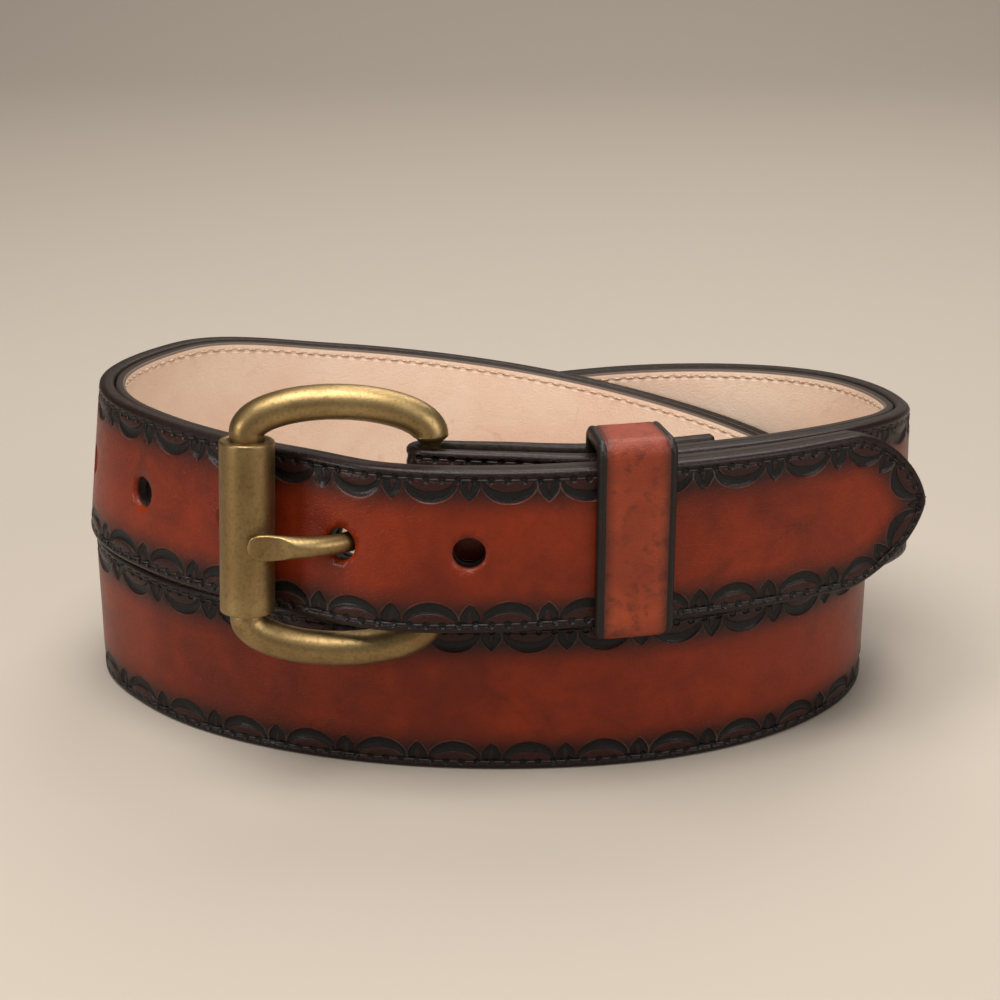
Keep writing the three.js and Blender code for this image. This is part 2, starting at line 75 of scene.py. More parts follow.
COIL_ROWS = (
    Row(-0.08, 0.98, 1.0, 1.05, 6.5),
    Row(-0.04, 0.978, 1.0, 1.05, 6.5),
    Row(0.0, 0.973, 1.0, 1.038, 3.0),
    Row(0.04, 0.966, 1.0, 1.004, 0.0),
    Row(0.08, 0.968, 1.0, 1.0, 0.0),
    Row(0.12, 0.978, 1.0, 0.985, 0.5),
    Row(0.16, 0.997, 1.0, 0.955, 1.0),
    Row(0.2, 1.013, 1.0, 0.9, 1.5),
    Row(0.25, 1.017, 1.0, 0.812, 3.0),
    Row(0.33, 1.02, 1.0, 0.729, 2.0),
    Row(0.42, 1.023, 1.0, 0.585, 1.0),
    Row(0.5, 1.028, 1.0, 0.405, 1.0),
    Row(0.58, 1.034, 1.0, 0.218, 1.0),
    Row(0.67, 1.034, 1.0, 0.055, 0.5),
    Row(0.75, 1.047, 0.1, 0.0, 0.0),
    Row(0.83, 1.01, 0.0, 0.0, 0.0),
    Row(0.92, 1.0, 0.0, 0.0, 0.0),
    Row(1.0, 1.006, 0.0, 0.0, 0.0),
    Row(1.08, 1.02, 0.0, 0.0, 0.0),
    Row(1.17, 1.004, 0.0, 0.0, 0.0),
    Row(1.25, 0.994, 0.0, 0.0, 0.0),
    Row(1.33, 1.0, 0.0, 0.207, -0.5),
    Row(1.42, 1.003, 0.0, 0.407, -1.0),
    Row(1.5, 1.005, 0.0, 0.603, -1.0),
    Row(1.58, 1.004, 0.0, 0.785, 0.0),
    Row(1.67, 1.01, 0.0, 0.968, 3.0),
    Row(1.75, 1.038, 0.0, 0.98, 6.5),
    Row(1.83, 1.034, 0.0, 0.995, 8.0),
    Row(1.87, 1.03, 0.2, 1.0, 7.5),
    Row(1.9, 1.01, 0.65, 1.0, 7.0),
    Row(1.93, 0.985, 1.25, 1.0, 6.5),
    Row(1.96, 0.978, 1.96, 1.0, 6.5),
    Row(1.98, 0.976, 2.08, 1.0, 5.0),
    Row(2.0, 0.973, 2.06, 1.0, 3.0),
    Row(2.04, 0.966, 2.0, 1.0, 0.0),
    Row(2.08, 0.968, 2.0, 1.0, 0.0),
    Row(2.12, 0.978, 2.0, 0.992, 0.5),
    Row(2.15, 0.992, 2.15, 0.987, 1.0),
    Row(2.18, 1.005, 3.1, 0.985, 1.0),
    Row(2.22, 1.015, 4.7, 0.985, 1.0),
)


class Zone(Enum):
    """What a point of the strap's skin is."""

    GRAIN = 0.0
    EDGE = 1.0
    FLESH = 2.0


@dataclass(frozen=True)
class StrapSizes:
    """The strap's driving dimensions in millimetres."""

    width: float = 32.0
    leather: float = 3.1
    lining: float = 2.0
    fold_leather: float = 2.2
    gap: float = 0.3
    lining_inset: float = 0.25
    lining_past_keeper: float = 1.2
    tip_length: float = 17.0
    tip_point: float = 1.6
    tip_shoulder: float = 0.65
    tip_least_half: float = 0.9
    hole_radius: float = 3.2
    hole_pitch: float = 25.0
    holes_towards_tip: int = 1
    holes_towards_buckle: int = 3
    tip_from_prong_hole: float = 121.0
    turn_back: float = 58.0

    @property
    def thickness(self) -> float:
        """Leather, gap and lining together."""
        return self.leather + self.gap + self.lining

    @property
    def pitch(self) -> float:
        """From one strap layer to the next."""
        return self.thickness + self.gap


@dataclass(frozen=True)
class KeeperSizes:
    """The keeper's driving dimensions in millimetres."""

    width: float = 14.2
    wall: float = 2.2
    corner: float = 3.2
    inner_corner: float = 0.6
    from_heel: float = 31.1
    edge_clearance: float = 0.35
    headroom: float = 3.0


@dataclass(frozen=True)
class BuckleSizes:
    """The buckle's driving dimensions in millimetres."""

    bar_spacing: float = 34.3
    heel_radius: float = 2.0
    rod_radius: float = 3.35
    roller_bar_radius: float = 3.15
    roller_radius: float = 5.25
    roller_running: float = 0.35
    roller_overhang: float = 0.8
    end_play: float = 1.35
    rise: float = 6.2
    roller_strap_clearance: float = 0.7
    prong_radius: float = 2.1
    prong_loop_wall: float = 1.8
    prong_drop: float = 2.2
    prong_hole_reach: float = 16.8
    slot_clearance: float = 0.4
    heel_turn: float = -0.024

    @property
    def prong_loop_radius(self) -> float:
        """The outer radius of the prong's loop on the heel bar."""
        return self.heel_radius + STRAP.gap + self.prong_loop_wall


@dataclass(frozen=True)
class CoilSizes:
    """The coil's half sizes in millimetres."""

    half_width: float = 81.0
    half_depth: float = 51.0


STRAP = StrapSizes()
KEEPER = KeeperSizes()
BUCKLE = BuckleSizes()
COIL = CoilSizes()
UPPER_LEVEL = STRAP.width + STRAP.gap + KEEPER.wall + KEEPER.edge_clearance
FOLD_INNER = BUCKLE.heel_radius + STRAP.gap
FOLD_REACH = 4 * FOLD_INNER
HALVINGS = 40


def smoothstep(value: Array, low: float, high: float) -> Array:
    """An eased ramp: 0 below low, 1 above high, and 3t2 - 2t3 between them.

    Args:
        value: the numbers to ramp.
        low: where the ramp starts.
        high: where it ends.

    Returns:
        The ramped numbers.
    """
    t = np.clip((value - low) / (high - low), 0.0, 1.0)
    return t * t * (3.0 - 2.0 * t)


def unit(vectors: Array) -> Array:
    """The vectors along the last axis, each at length one."""
    return vectors / np.linalg.norm(vectors, axis=-1, keepdims=True)


def hermite(knots: Array, values: Array, slopes: Array, at: Array) -> Array:
    """The cubic through rows of values with a given slope at each.

    Args:
        knots: the rows' places.
        values: their values.
        slopes: the curve's slope at each.
        at: where it is wanted.

    Returns:
        start + (end - start)(3t2 - 2t3) + t(1 - t)((1 - t) m0 - t m1) times the span, in the interval of each place.
    """
    i = np.clip(np.searchsorted(knots, at, side="right") - 1, 0, len(knots) - 2)
    span = knots[i + 1] - knots[i]
    t = np.clip((at - knots[i]) / span, 0.0, 1.0)
    eased = t * t * (3.0 - 2.0 * t)
    bend = t * (1.0 - t) * ((1.0 - t) * slopes[i] - t * slopes[i + 1]) * span
    return values[i] + (values[i + 1] - values[i]) * eased + bend


def circle_angles(count: int) -> Array:
    """Even angles once round, without the last."""
    return np.linspace(0.0, 2 * math.pi, count + 1)[:-1]


@dataclass
class Frames:
    """Points with the way the strap runs there, the way out of its tooled face, and the way up its width."""

    point: Array
    along: Array
    out: Array
    up: Array

    def at(self, depth: Array, height: Array, ahead: Array | float = 0.0) -> Array:
        """Points behind the tooled face and above its middle.

        Args:
            depth: distance behind the tooled face, one column of values per frame.
            height: distance above the middle of the width.
            ahead: distance along the strap.

        Returns:
            point - depth * out + height * up + ahead * along, with one more axis than the frames.
        """
        ahead = np.broadcast_to(ahead, np.shape(depth))
        return (
            self.point[:, None]
            - np.asarray(depth)[..., None] * self.out[:, None]
            + np.asarray(height)[..., None] * self.up[:, None]
            + ahead[..., None] * self.along[:, None]
        )


class CoilPath:
    """The strap's path: an oval spiral whose reach, layers, lift and lean follow the rows. Steps are in turns."""

    right_turn = 0.25
    length_step = 0.0005
    tangent_step = 0.0008

    def __init__(self, rows: Sequence[Row]) -> None:
        """Reads the rows and measures the path's length."""
        self.rows = {name: np.array([getattr(row, name) for row in rows]) for name in Row._fields}
        turns = self.rows["turn"]
        self.fine_turns = np.arange(turns[0], turns[-1], self.length_step)
        steps = np.linalg.norm(np.diff(self.point(self.fine_turns), axis=0), axis=1)
        self.fine_lengths = np.concatenate([[0.0], np.cumsum(steps)])

    def value(self, turn: Array, column: str) -> Array:
        """A column at some turns: the monotone cubic through its rows, with harmonic mean slopes.

        Args:
            turn: the turns.
            column: the column's name.

        Returns:
            The column's value at each turn.
        """
        knots, values = self.rows["turn"], self.rows[column]
        slopes = np.diff(values) / np.diff(knots)
        before, after = slopes[:-1], slopes[1:]
        product = before * after
        total = np.where(product > 0, before + after, 1.0)
        inner = np.where(product > 0, 2.0 * product / total, 0.0)
        return hermite(knots, values, np.concatenate([[0.0], inner, [0.0]]), turn)

    def point(self, turn: Array) -> Array:
        """The tooled face's middle: reach times the oval, plus layers times the pitch along the oval's normal."""
        turn = np.atleast_1d(turn)
        angle = 2.0 * math.pi * (turn - self.right_turn)
        reach = self.value(turn, "reach")
        layers = self.value(turn, "layers")
        normal = unit(np.stack([np.cos(angle) * COIL.half_depth, np.sin(angle) * COIL.half_width], -1))
        oval = np.stack([np.cos(angle) * COIL.half_width, np.sin(angle) * COIL.half_depth], -1)
        flat = oval * reach[:, None] + normal * (layers * STRAP.pitch)[:, None]
        height = self.value(turn, "lift") * UPPER_LEVEL + STRAP.width / 2
        return np.concatenate([flat, height[:, None]], axis=1)

    def frames(self, turn: Array) -> Frames:
        """The frames at some turns: the tangent, and out and up turned about it by the lean."""
        turn = np.atleast_1d(turn)
        along = unit(self.point(turn + self.tangent_step) - self.point(turn - self.tangent_step))
        level = unit(np.stack([along[:, 1], -along[:, 0], np.zeros(len(turn))], -1))
        upright = np.cross(level, along)
        lean = np.radians(self.value(turn, "lean"))[:, None]
        up = upright * np.cos(lean) - level * np.sin(lean)
        out = level * np.cos(lean) + upright * np.sin(lean)
        return Frames(self.point(turn), along, out, up)

    def length_at(self, turn: float) -> float:
        """The path's length from its start to a turn."""
        return float(np.interp(turn, self.fine_turns, self.fine_lengths))

    def turn_at(self, length: Array) -> Array:
        """The turns at some lengths."""
        return np.interp(length, self.fine_lengths, self.fine_turns)


def find_turn(low: float, high: float, test: Callable[[float], float]) -> float:
    """The turn between low and high where test changes sign, by halving.

    Args:
        low: a turn before the change.
        high: a turn after it.
        test: the function of a turn.

    Returns:
        The turn.
    """
    low_sign = test(low) > 0
    for _ in range(HALVINGS):
        middle = (low + high) / 2
        if (test(middle) > 0) == low_sign:
            low = middle
        else:
            high = middle
    return (low + high) / 2


class BeltPlan:
    """Where everything lies on the path: the heel bar, the roller, the holes, the lining's start and the tip."""

    roller_between = (1.8, 1.97)
    hole_between = (1.88, 2.0)

    def __init__(self) -> None:
        """Works the places out from the driving dimensions."""
        self.path = CoilPath(COIL_ROWS)
        self.heel = self.path.frames(np.array([BUCKLE.heel_turn]))
        self.heel_length = self.path.length_at(BUCKLE.heel_turn)
        self.heel_point = self.heel.point[0] - self.heel.out[0] * (STRAP.fold_leather + FOLD_INNER)
        self.roller_turn = find_turn(*self.roller_between, self._roller_excess)
        self.buckle_axes = self._buckle_axes()
        hole_turn = find_turn(*self.hole_between, self._hole_excess)
        self.prong_hole = self.path.length_at(hole_turn) - self.heel_length
        self.end = self.prong_hole + STRAP.tip_from_prong_hole
        self.lining_start = KEEPER.from_heel + KEEPER.width + STRAP.lining_past_keeper
        self.fold_length = math.pi * (FOLD_INNER + STRAP.fold_leather)

    def _roller_point(self, turn: float) -> Array:
        """The roller's axis if it lay on the strap at a turn."""
        here = self.path.frames(np.array([turn]))
        return here.point[0] + here.out[0] * (BUCKLE.roller_radius + BUCKLE.roller_strap_clearance)

    def _roller_excess(self, turn: float) -> float:
        """How much further than the bar spacing the roller would lie from the heel bar."""
        return float(np.linalg.norm(self._roller_point(turn) - self.heel_point) - BUCKLE.bar_spacing)

    def _buckle_axes(self) -> Array:
        """The buckle's axes as rows: to the roller, out of the strap, up the bars."""
        up = self.heel.up[0]
        across = self._roller_point(self.roller_turn) - self.heel_point
        across = unit(across - up * np.dot(across, up))
        return np.stack([across, np.cross(up, across), up])

    def _hole_excess(self, turn: float) -> float:
        """How much further towards the roller than the prong's hole a turn's point lies."""
        reach = (self.path.point(np.array([turn]))[0] - self.heel_point) @ self.buckle_axes[0]
        return float(reach - BUCKLE.prong_hole_reach)

    def holes(self) -> Array:
        """The lengths of the belt holes from the heel bar."""
        steps = np.arange(-STRAP.holes_towards_buckle, STRAP.holes_towards_tip + 1)
        return self.prong_hole + steps * STRAP.hole_pitch

    def to_world(self, local: Array) -> Array:
        """Points of the buckle's own frame in the coil's frame."""
        return self.heel_point + local @ self.buckle_axes

    def past_fold(self, length: Array) -> Array:
        """0 at the fold and 1 from the keeper on."""
        return smoothstep(length, FOLD_REACH, KEEPER.from_heel)

    def leather_at(self, length: Array) -> Array:
        """The leather's thickness at some lengths from the heel bar."""
        return STRAP.fold_leather + (STRAP.leather - STRAP.fold_leather) * self.past_fold(np.abs(length))

    def turn_back_depth(self, length: Array) -> Array:
        """From the front layer's tooled face to the turned-back layer's."""
        passage = KEEPER.wall + 2 * STRAP.gap
        room = 2 * FOLD_INNER + (passage - 2 * FOLD_INNER) * self.past_fold(length)
        return 2 * self.leather_at(length) + room

    def strip(self, s: Array) -> Frames:
        """The leather's frames along its whole length: turned-back layer, fold, and strap.

        Args:
            s: length from the heel bar. The fold runs from minus its own length to 0, and the turned-back
                layer lies before it.

        Returns:
            Frames whose out points out of the tooled face everywhere.
        """
        s = np.asarray(s, float)
        strap = self.path.frames(self.path.turn_at(self.heel_length + np.maximum(s, 0.0)))
        back_length = np.maximum(-s - self.fold_length, 0.0)
        behind = self.path.frames(self.path.turn_at(self.heel_length + back_length))
        back_point = behind.point - behind.out * self.turn_back_depth(back_length)[:, None]
        angle = math.pi * np.clip((s + self.fold_length) / self.fold_length, 0.0, 1.0)[:, None]
        out_h, along_h = self.heel.out, self.heel.along
        fold_out = -np.cos(angle) * out_h - np.sin(angle) * along_h
        fold_along = np.sin(angle) * out_h - np.cos(angle) * along_h
        fold_point = self.heel_point + fold_out * (FOLD_INNER + STRAP.fold_leather)
        fold_up = np.broadcast_to(self.heel.up, fold_out.shape)
        on_strap = (s >= 0)[:, None]
        on_back = (s <= -self.fold_length)[:, None]
        choices = (
            (strap.point, back_point, fold_point),
            (strap.along, -behind.along, fold_along),
            (strap.out, -behind.out, fold_out),
            (strap.up, behind.up, fold_up),
        )
        return Frames(*(np.where(on_strap, a, np.where(on_back, b, c)) for a, b, c in choices))

    def half_width(self, s: Array) -> Array:
        """Half the strap's width: full, and (1 - t to the power tip_point) to the power tip_shoulder at the tip."""
        share = np.clip((s - self.end + STRAP.tip_length) / STRAP.tip_length, 0.0, 1.0)
        return STRAP.width / 2 * (1.0 - share**STRAP.tip_point) ** STRAP.tip_shoulder


PLAN = BeltPlan()


@dataclass(frozen=True)
class TipOutline:
    """The strap's upper outline near the tip, flat: lengths, heights and length along the outline."""

    s: Array
    h: Array
    run: Array
    before_tip = 10.0
    overlap = 2.0
    samples = 500

    @classmethod
    def make(cls) -> "TipOutline":
        """Samples the outline from a little before the tip to its end."""
        start = PLAN.end - STRAP.tip_length - cls.before_tip
        spread = np.sin(np.linspace(0.0, math.pi / 2, cls.samples))
        s = start + (PLAN.end - start) * spread
        h = PLAN.half_width(s)
        run = start + np.concatenate([[0.0], np.cumsum(np.hypot(np.diff(s), np.diff(h)))])
        return cls(s, h, run)

    def place(self, s: Array, h: Array) -> tuple[Array, Array]:
        """Coordinates that follow the outline.

        Args:
            s: lengths from the heel bar.
            h: heights from the middle.

        Returns:
            The length along the outline at the nearest point of it, and the distance to it.
        """
        run = s.copy()
        inward = PLAN.half_width(s) - np.abs(h)
        near = s > self.s[0] + self.overlap
        if near.any():
            ds = s[near][:, None] - self.s[None]
            dh = np.abs(h[near])[:, None] - self.h[None]
            distance = np.hypot(ds, dh)
            nearest = distance.argmin(axis=1)
            run[near] = self.run[nearest]
            inward[near] = distance[np.arange(len(nearest)), nearest]
        return run, np.maximum(inward, 0.0)


OUTLINE = TipOutline.make()


@dataclass(frozen=True)
class Border:
    """The stamped border: crescents and small pointed arches between them, along both edges.

    Lengths are in millimetres. A ramp gives where a form starts and where it is full, in millimetres for start_ramp
    and as a share of the form's size for the others.
    """

    period: float = 14.8
    seam: float = 1.75
    stitch_pitch: float = 3.05
    base: float = 1.75
    crescent_half: float = 5.3
    crescent_rise: float = 4.5
    moon_half: float = 4.6
    moon_rise: float = 2.35
    arch_half: float = 2.0
    arch_rise: float = 4.2
    arch_power: float = 2.6
    depth: float = 0.45
    start_ramp: tuple[float, float] = (-0.35, 0.25)
    crescent_ramp: tuple[float, float] = (-0.06, 0.13)
    moon_ramp: tuple[float, float] = (-0.15, 0.12)
    arch_ramp: tuple[float, float] = (-0.05, 0.3)
    ridge_ramp: tuple[float, float] = (0.62, 0.8)
    ridge_top: float = 3.2
    ridge_fade: float = 0.8
    ridge_share: float = 0.7
    rim_height: float = 0.09
    rim_middle: float = -0.06
    rim_width: float = 0.05
    groove_depth: float = 0.16
    groove_half: float = 0.45

    @property
    def phase(self) -> float:
        """Where a crescent's middle lies, so that an arch stands at the tip."""
        return float(OUTLINE.run[-1]) - self.period / 2

    def relief(self, run: Array, inward: Array) -> Array:
        """The stamped face's height.

        Args:
            run: length along the edge.
            inward: distance from the edge.

        Returns:
            Minus the stamp's depth inside the crescents and arches, a low rim round them, and the seam's groove.
        """
        along = np.abs((run - self.phase + self.period / 2) % self.period - self.period / 2)
        rise = inward - self.base
        outer = 1.0 - np.hypot(along / self.crescent_half, rise / self.crescent_rise)
        moon = 1.0 - np.hypot(along / self.moon_half, rise / self.moon_rise)
        beside = self.period / 2 - along
        arch = 1.0 - np.maximum(rise / self.arch_rise, 0.0) ** self.arch_power - beside / self.arch_half
        above = smoothstep(rise, *self.start_ramp)
        crescent = smoothstep(outer, *self.crescent_ramp) * (1.0 - smoothstep(moon, *self.moon_ramp)) * above
        arched = smoothstep(arch, *self.arch_ramp) * above
        ridge = smoothstep(arch, *self.ridge_ramp) * smoothstep(self.ridge_top - rise, 0.0, self.ridge_fade)
        rim = np.exp(-(((outer - self.rim_middle) / self.rim_width) ** 2)) * above
        groove = np.exp(-(((inward - self.seam) / self.groove_half) ** 2))
        stamped = np.maximum(crescent, arched * (1.0 - self.ridge_share * ridge))
        return self.rim_height * rim - self.depth * stamped - self.groove_depth * groove


BORDER = Border()


def frame_shift() -> Array:
    """From the coil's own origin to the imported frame's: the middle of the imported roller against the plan's."""
    low, high = (np.array(corner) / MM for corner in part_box("buckle_roller"))
    return (low + high) / 2 - PLAN.to_world(np.array([BUCKLE.bar_spacing, 0.0, 0.0]))


SHIFT = frame_shift()


def make_mesh(name: str, points: Array, faces: list, body: str) -> bpy.types.Object:
    """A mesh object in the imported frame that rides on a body.

    Args:
        name: the piece's name.
        points: vertices in millimetres in the coil's frame.
        faces: vertex numbers of each face.
        body: the body that it rides on.

    Returns:
        The object, at the origin.
    """
    mesh = bpy.data.meshes.new(name)
    mesh.from_pydata(((points.reshape(-1, 3) + SHIFT) * MM).tolist(), [], faces)
    mesh.polygons.foreach_set("use_smooth", np.full(len(mesh.polygons), True))
    mesh.update()
    piece = bpy.data.objects.new(name, mesh)
    bpy.context.scene.collection.objects.link(piece)
    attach(piece, body)
    return piece


def set_places(piece: bpy.types.Object, places: Array) -> None:
    """Stores a vector per vertex as the attribute that the strap's finish follows.

    Args:
        piece: the object.
        places: along the edge, in from the edge, and the zone, per vertex.
    """
    attribute = piece.data.attributes.new("place", "FLOAT_VECTOR", "POINT")
    attribute.data.foreach_set("vector", places.astype(np.float32).ravel())


def loop_grid(rows: int, columns: int) -> Array:
    """Quads of a grid whose columns close on themselves, as rows of four vertex numbers per cell.

    Args:
        rows: vertex rows.
        columns: vertex columns.

    Returns:
        An array of (rows - 1, columns, 4), each face pointing out where columns run counterclockwise.
    """
    i = np.arange(rows - 1)[:, None]
    j = np.arange(columns)[None]
    k = (j + 1) % columns
    a, b, c, d = (i * columns + j, (i + 1) * columns + j, (i + 1) * columns + k, i * columns + k)
    return np.stack(np.broadcast_arrays(a, b, c, d), axis=-1)


@dataclass
class Layer:
    """One layer of the strap as a closed skin: its columns go up the front, over the edge and down the back.

    Lengths are in millimetres. front_inward and back_inward are the columns' distances from the edge, and inset is
    how far the layer's edge stands back from the strap's.
    """

    front_inward: Sequence[float]
    middle_half: float
    middle_count: int
    back_inward: Sequence[float]
    start_depth: Callable[[Array], Array]
    thickness: Callable[[Array], Array]
    inset: float
    rounding: float
    back_rounding: float
    relief: Callable[[Array, Array], Array] | None = None
    holes: Array = field(default_factory=lambda: np.zeros(0))
    slot: tuple[float, float] | None = None

    edge_depths = (0.5, 0.7)
    hole_margin = 2.0

    def _columns(self) -> tuple[Array, Array, Array]:
        """Each column's height, as a share of the half width, its zone, and its share of the thickness."""
        half = STRAP.width / 2
        border = 1.0 - np.array(self.front_inward) / half
        middle = np.linspace(-self.middle_half, self.middle_half, self.middle_count) / half
        front = np.concatenate([-border, middle, border[::-1]])
        back_border = 1.0 - np.array(self.back_inward) / half
        back = np.concatenate([back_border, middle[::-1], -back_border[::-1]])
        edge = np.ones(len(self.edge_depths))
        shares = np.concatenate([front, edge, back, -edge])
        groups = [Zone.GRAIN.value, Zone.EDGE.value, Zone.FLESH.value, Zone.EDGE.value]
        zones = np.repeat(groups, [len(front), len(edge), len(back), len(edge)])
        depths = [np.zeros(len(front)), self.edge_depths, np.ones(len(back)), self.edge_depths[::-1]]
        return shares, zones, np.concatenate(depths)

    def build(self, s: Array) -> tuple[Array, list, Array]:
        """The layer's skin.

        Args:
            s: the lengths of its rows.

        Returns:
            Points, faces and the place of each point. A point lies at the share of its row's half width, and at
            the depth: front plus the corner's rounding minus the relief, or back minus its rounding.
        """
        shares, zones, depth_share = self._columns()
        rows, columns = len(s), len(shares)
        half = np.maximum(PLAN.half_width(s), STRAP.tip_least_half)[:, None] - self.inset
        height = half * shares[None]
        length = np.repeat(s[:, None], columns, axis=1)
        rims = self._snap_to_holes(length, height, shares)
        run, inward = OUTLINE.place(length.ravel(), height.ravel())
        run = run.reshape(rows, columns)
        inward = np.maximum(inward.reshape(rows, columns) - self.inset, 0.0)
        thick = self.thickness(s)[:, None]
        start = self.start_depth(s)[:, None]
        front_round = self._round(inward, self.rounding)
        back_round = self._round(inward, self.back_rounding)
        is_front, is_back = depth_share[None] == 0.0, depth_share[None] == 1.0
        lift = self.relief(run, inward) if self.relief else np.zeros_like(run)
        depth = np.where(is_front, front_round - lift, depth_share[None] * thick)
        depth = np.where(is_back, thick - back_round, depth) + start
        points = PLAN.strip(s).at(depth, height, length - s[:, None])
        places = np.stack([run, inward, np.where(rims, Zone.EDGE.value, zones[None])], axis=-1)
        return points, self._faces(s, shares), places.reshape(-1, 3)

    @staticmethod
    def _round(inward: Array, radius: float) -> Array:
        """How far an edge rounded by a radius falls away: r - sqrt(r2 - (r - inward)2)."""
        rest = np.clip(radius - inward, 0.0, radius)
        return radius - np.sqrt(np.maximum(radius**2 - rest**2, 0.0))

    def _middle_columns(self) -> tuple[Array, Array]:
        """The numbers of the front's middle columns, and of the back's that lie behind them."""
        first = len(self.front_inward)
        front = np.arange(first, first + self.middle_count)
        back_first = 2 * first + self.middle_count + len(self.edge_depths) + len(self.back_inward)
        back = np.arange(back_first, back_first + self.middle_count)[::-1]
        return front, back

    def _in_holes(self, s: Array, shares: Array) -> Array:
        """Which middle cells lie inside a hole or the slot, by their centres."""
        front, _ = self._middle_columns()
        heights = shares[front] * STRAP.width / 2
        centre_s = (s[1:] + s[:-1]) / 2
        centre_h = (heights[1:] + heights[:-1]) / 2
        distance = np.hypot(centre_s[:, None, None] - self.holes, centre_h[None, :, None])
        inside = (distance < STRAP.hole_radius).any(axis=2)
        if self.slot:
            low, high = self.slot
            half = BUCKLE.prong_radius + BUCKLE.slot_clearance
            across = (np.abs(centre_h) < half)[None]
            inside |= ((centre_s > low) & (centre_s < high))[:, None] & across
        return inside

    def _snap_to_holes(self, length: Array, height: Array, shares: Array) -> Array:
        """Moves the grid's points next to a hole onto its circle, on the front and on the back.

        Args:
            length: the points' lengths, changed in place.
            height: the points' heights, changed in place.
            shares: the columns.

        Returns:
            Which points lie on the rim of a hole or of the slot.
        """
        front, back = self._middle_columns()
        s = length[:, 0].copy()
        edges = self._hole_edge(self._in_holes(s, shares), len(s))
        rims = np.zeros(length.shape, bool)
        rims[:, back] = edges & (self.relief is not None)
        for centre in self.holes:
            rows = np.flatnonzero(np.abs(s - centre) < STRAP.hole_radius + self.hole_margin)
            for columns in (front, back):
                block = np.ix_(rows, columns)
                along, across = length[block] - centre, height[block]
                distance = np.maximum(np.hypot(along, across), TINY)
                scale = np.where(edges[rows], STRAP.hole_radius / distance, 1.0)
                length[block] = centre + along * scale
                height[block] = across * scale
        return rims

    def _hole_edge(self, inside: Array, rows: int) -> Array:
        """Which middle points touch both a cell inside a hole and a cell outside it."""
        padded = np.zeros((rows + 1, self.middle_count + 1), bool)
        padded[1:rows, 1 : self.middle_count] = inside
        around = np.stack([padded[:-1, :-1], padded[1:, :-1], padded[:-1, 1:], padded[1:, 1:]])
        return around.any(axis=0) & ~around.all(axis=0)

    def _faces(self, s: Array, shares: Array) -> list:
        """The skin's quads without the holes, the holes' walls, and the two end caps."""
        rows, columns = len(s), len(shares)
        cells = loop_grid(rows, columns)
        inside = self._in_holes(s, shares)
        front, back = self._middle_columns()
        keep = np.ones((rows - 1, columns), bool)
        i, j = np.nonzero(inside)
        keep[i, front[j]] = False
        keep[i, back[j + 1]] = False
        faces = cells[keep].tolist()
        faces += self._walls(inside, front, back, columns)
        faces.append(list(range(columns)))
        faces.append([(rows - 1) * columns + k for k in reversed(range(columns))])
        return faces

    @staticmethod
    def _walls(inside: Array, front: Array, back: Array, columns: int) -> list:
        """Quads between the front's and the back's rims of each hole, one per cell edge on the rim."""
        padded = np.pad(inside, 1)
        walls = []
        sides = (
            (padded[:-2, 1:-1], (0, 0), (0, 1)),
            (padded[2:, 1:-1], (1, 1), (1, 0)),
            (padded[1:-1, :-2], (1, 0), (0, 0)),
            (padded[1:-1, 2:], (0, 1), (1, 1)),
        )
        for neighbour, first, second in sides:
            i, j = np.nonzero(inside & ~neighbour)
            corners = ((second, front), (first, front), (first, back), (second, back))
            quads = [(i + di) * columns + face[j + dj] for (di, dj), face in corners]
            walls += np.stack(quads, axis=1).tolist()
        return walls


class Side(Enum):
    """The strap's side that a seam shows on, as the way out of it."""

    FACE = -1.0
    BACK = 1.0


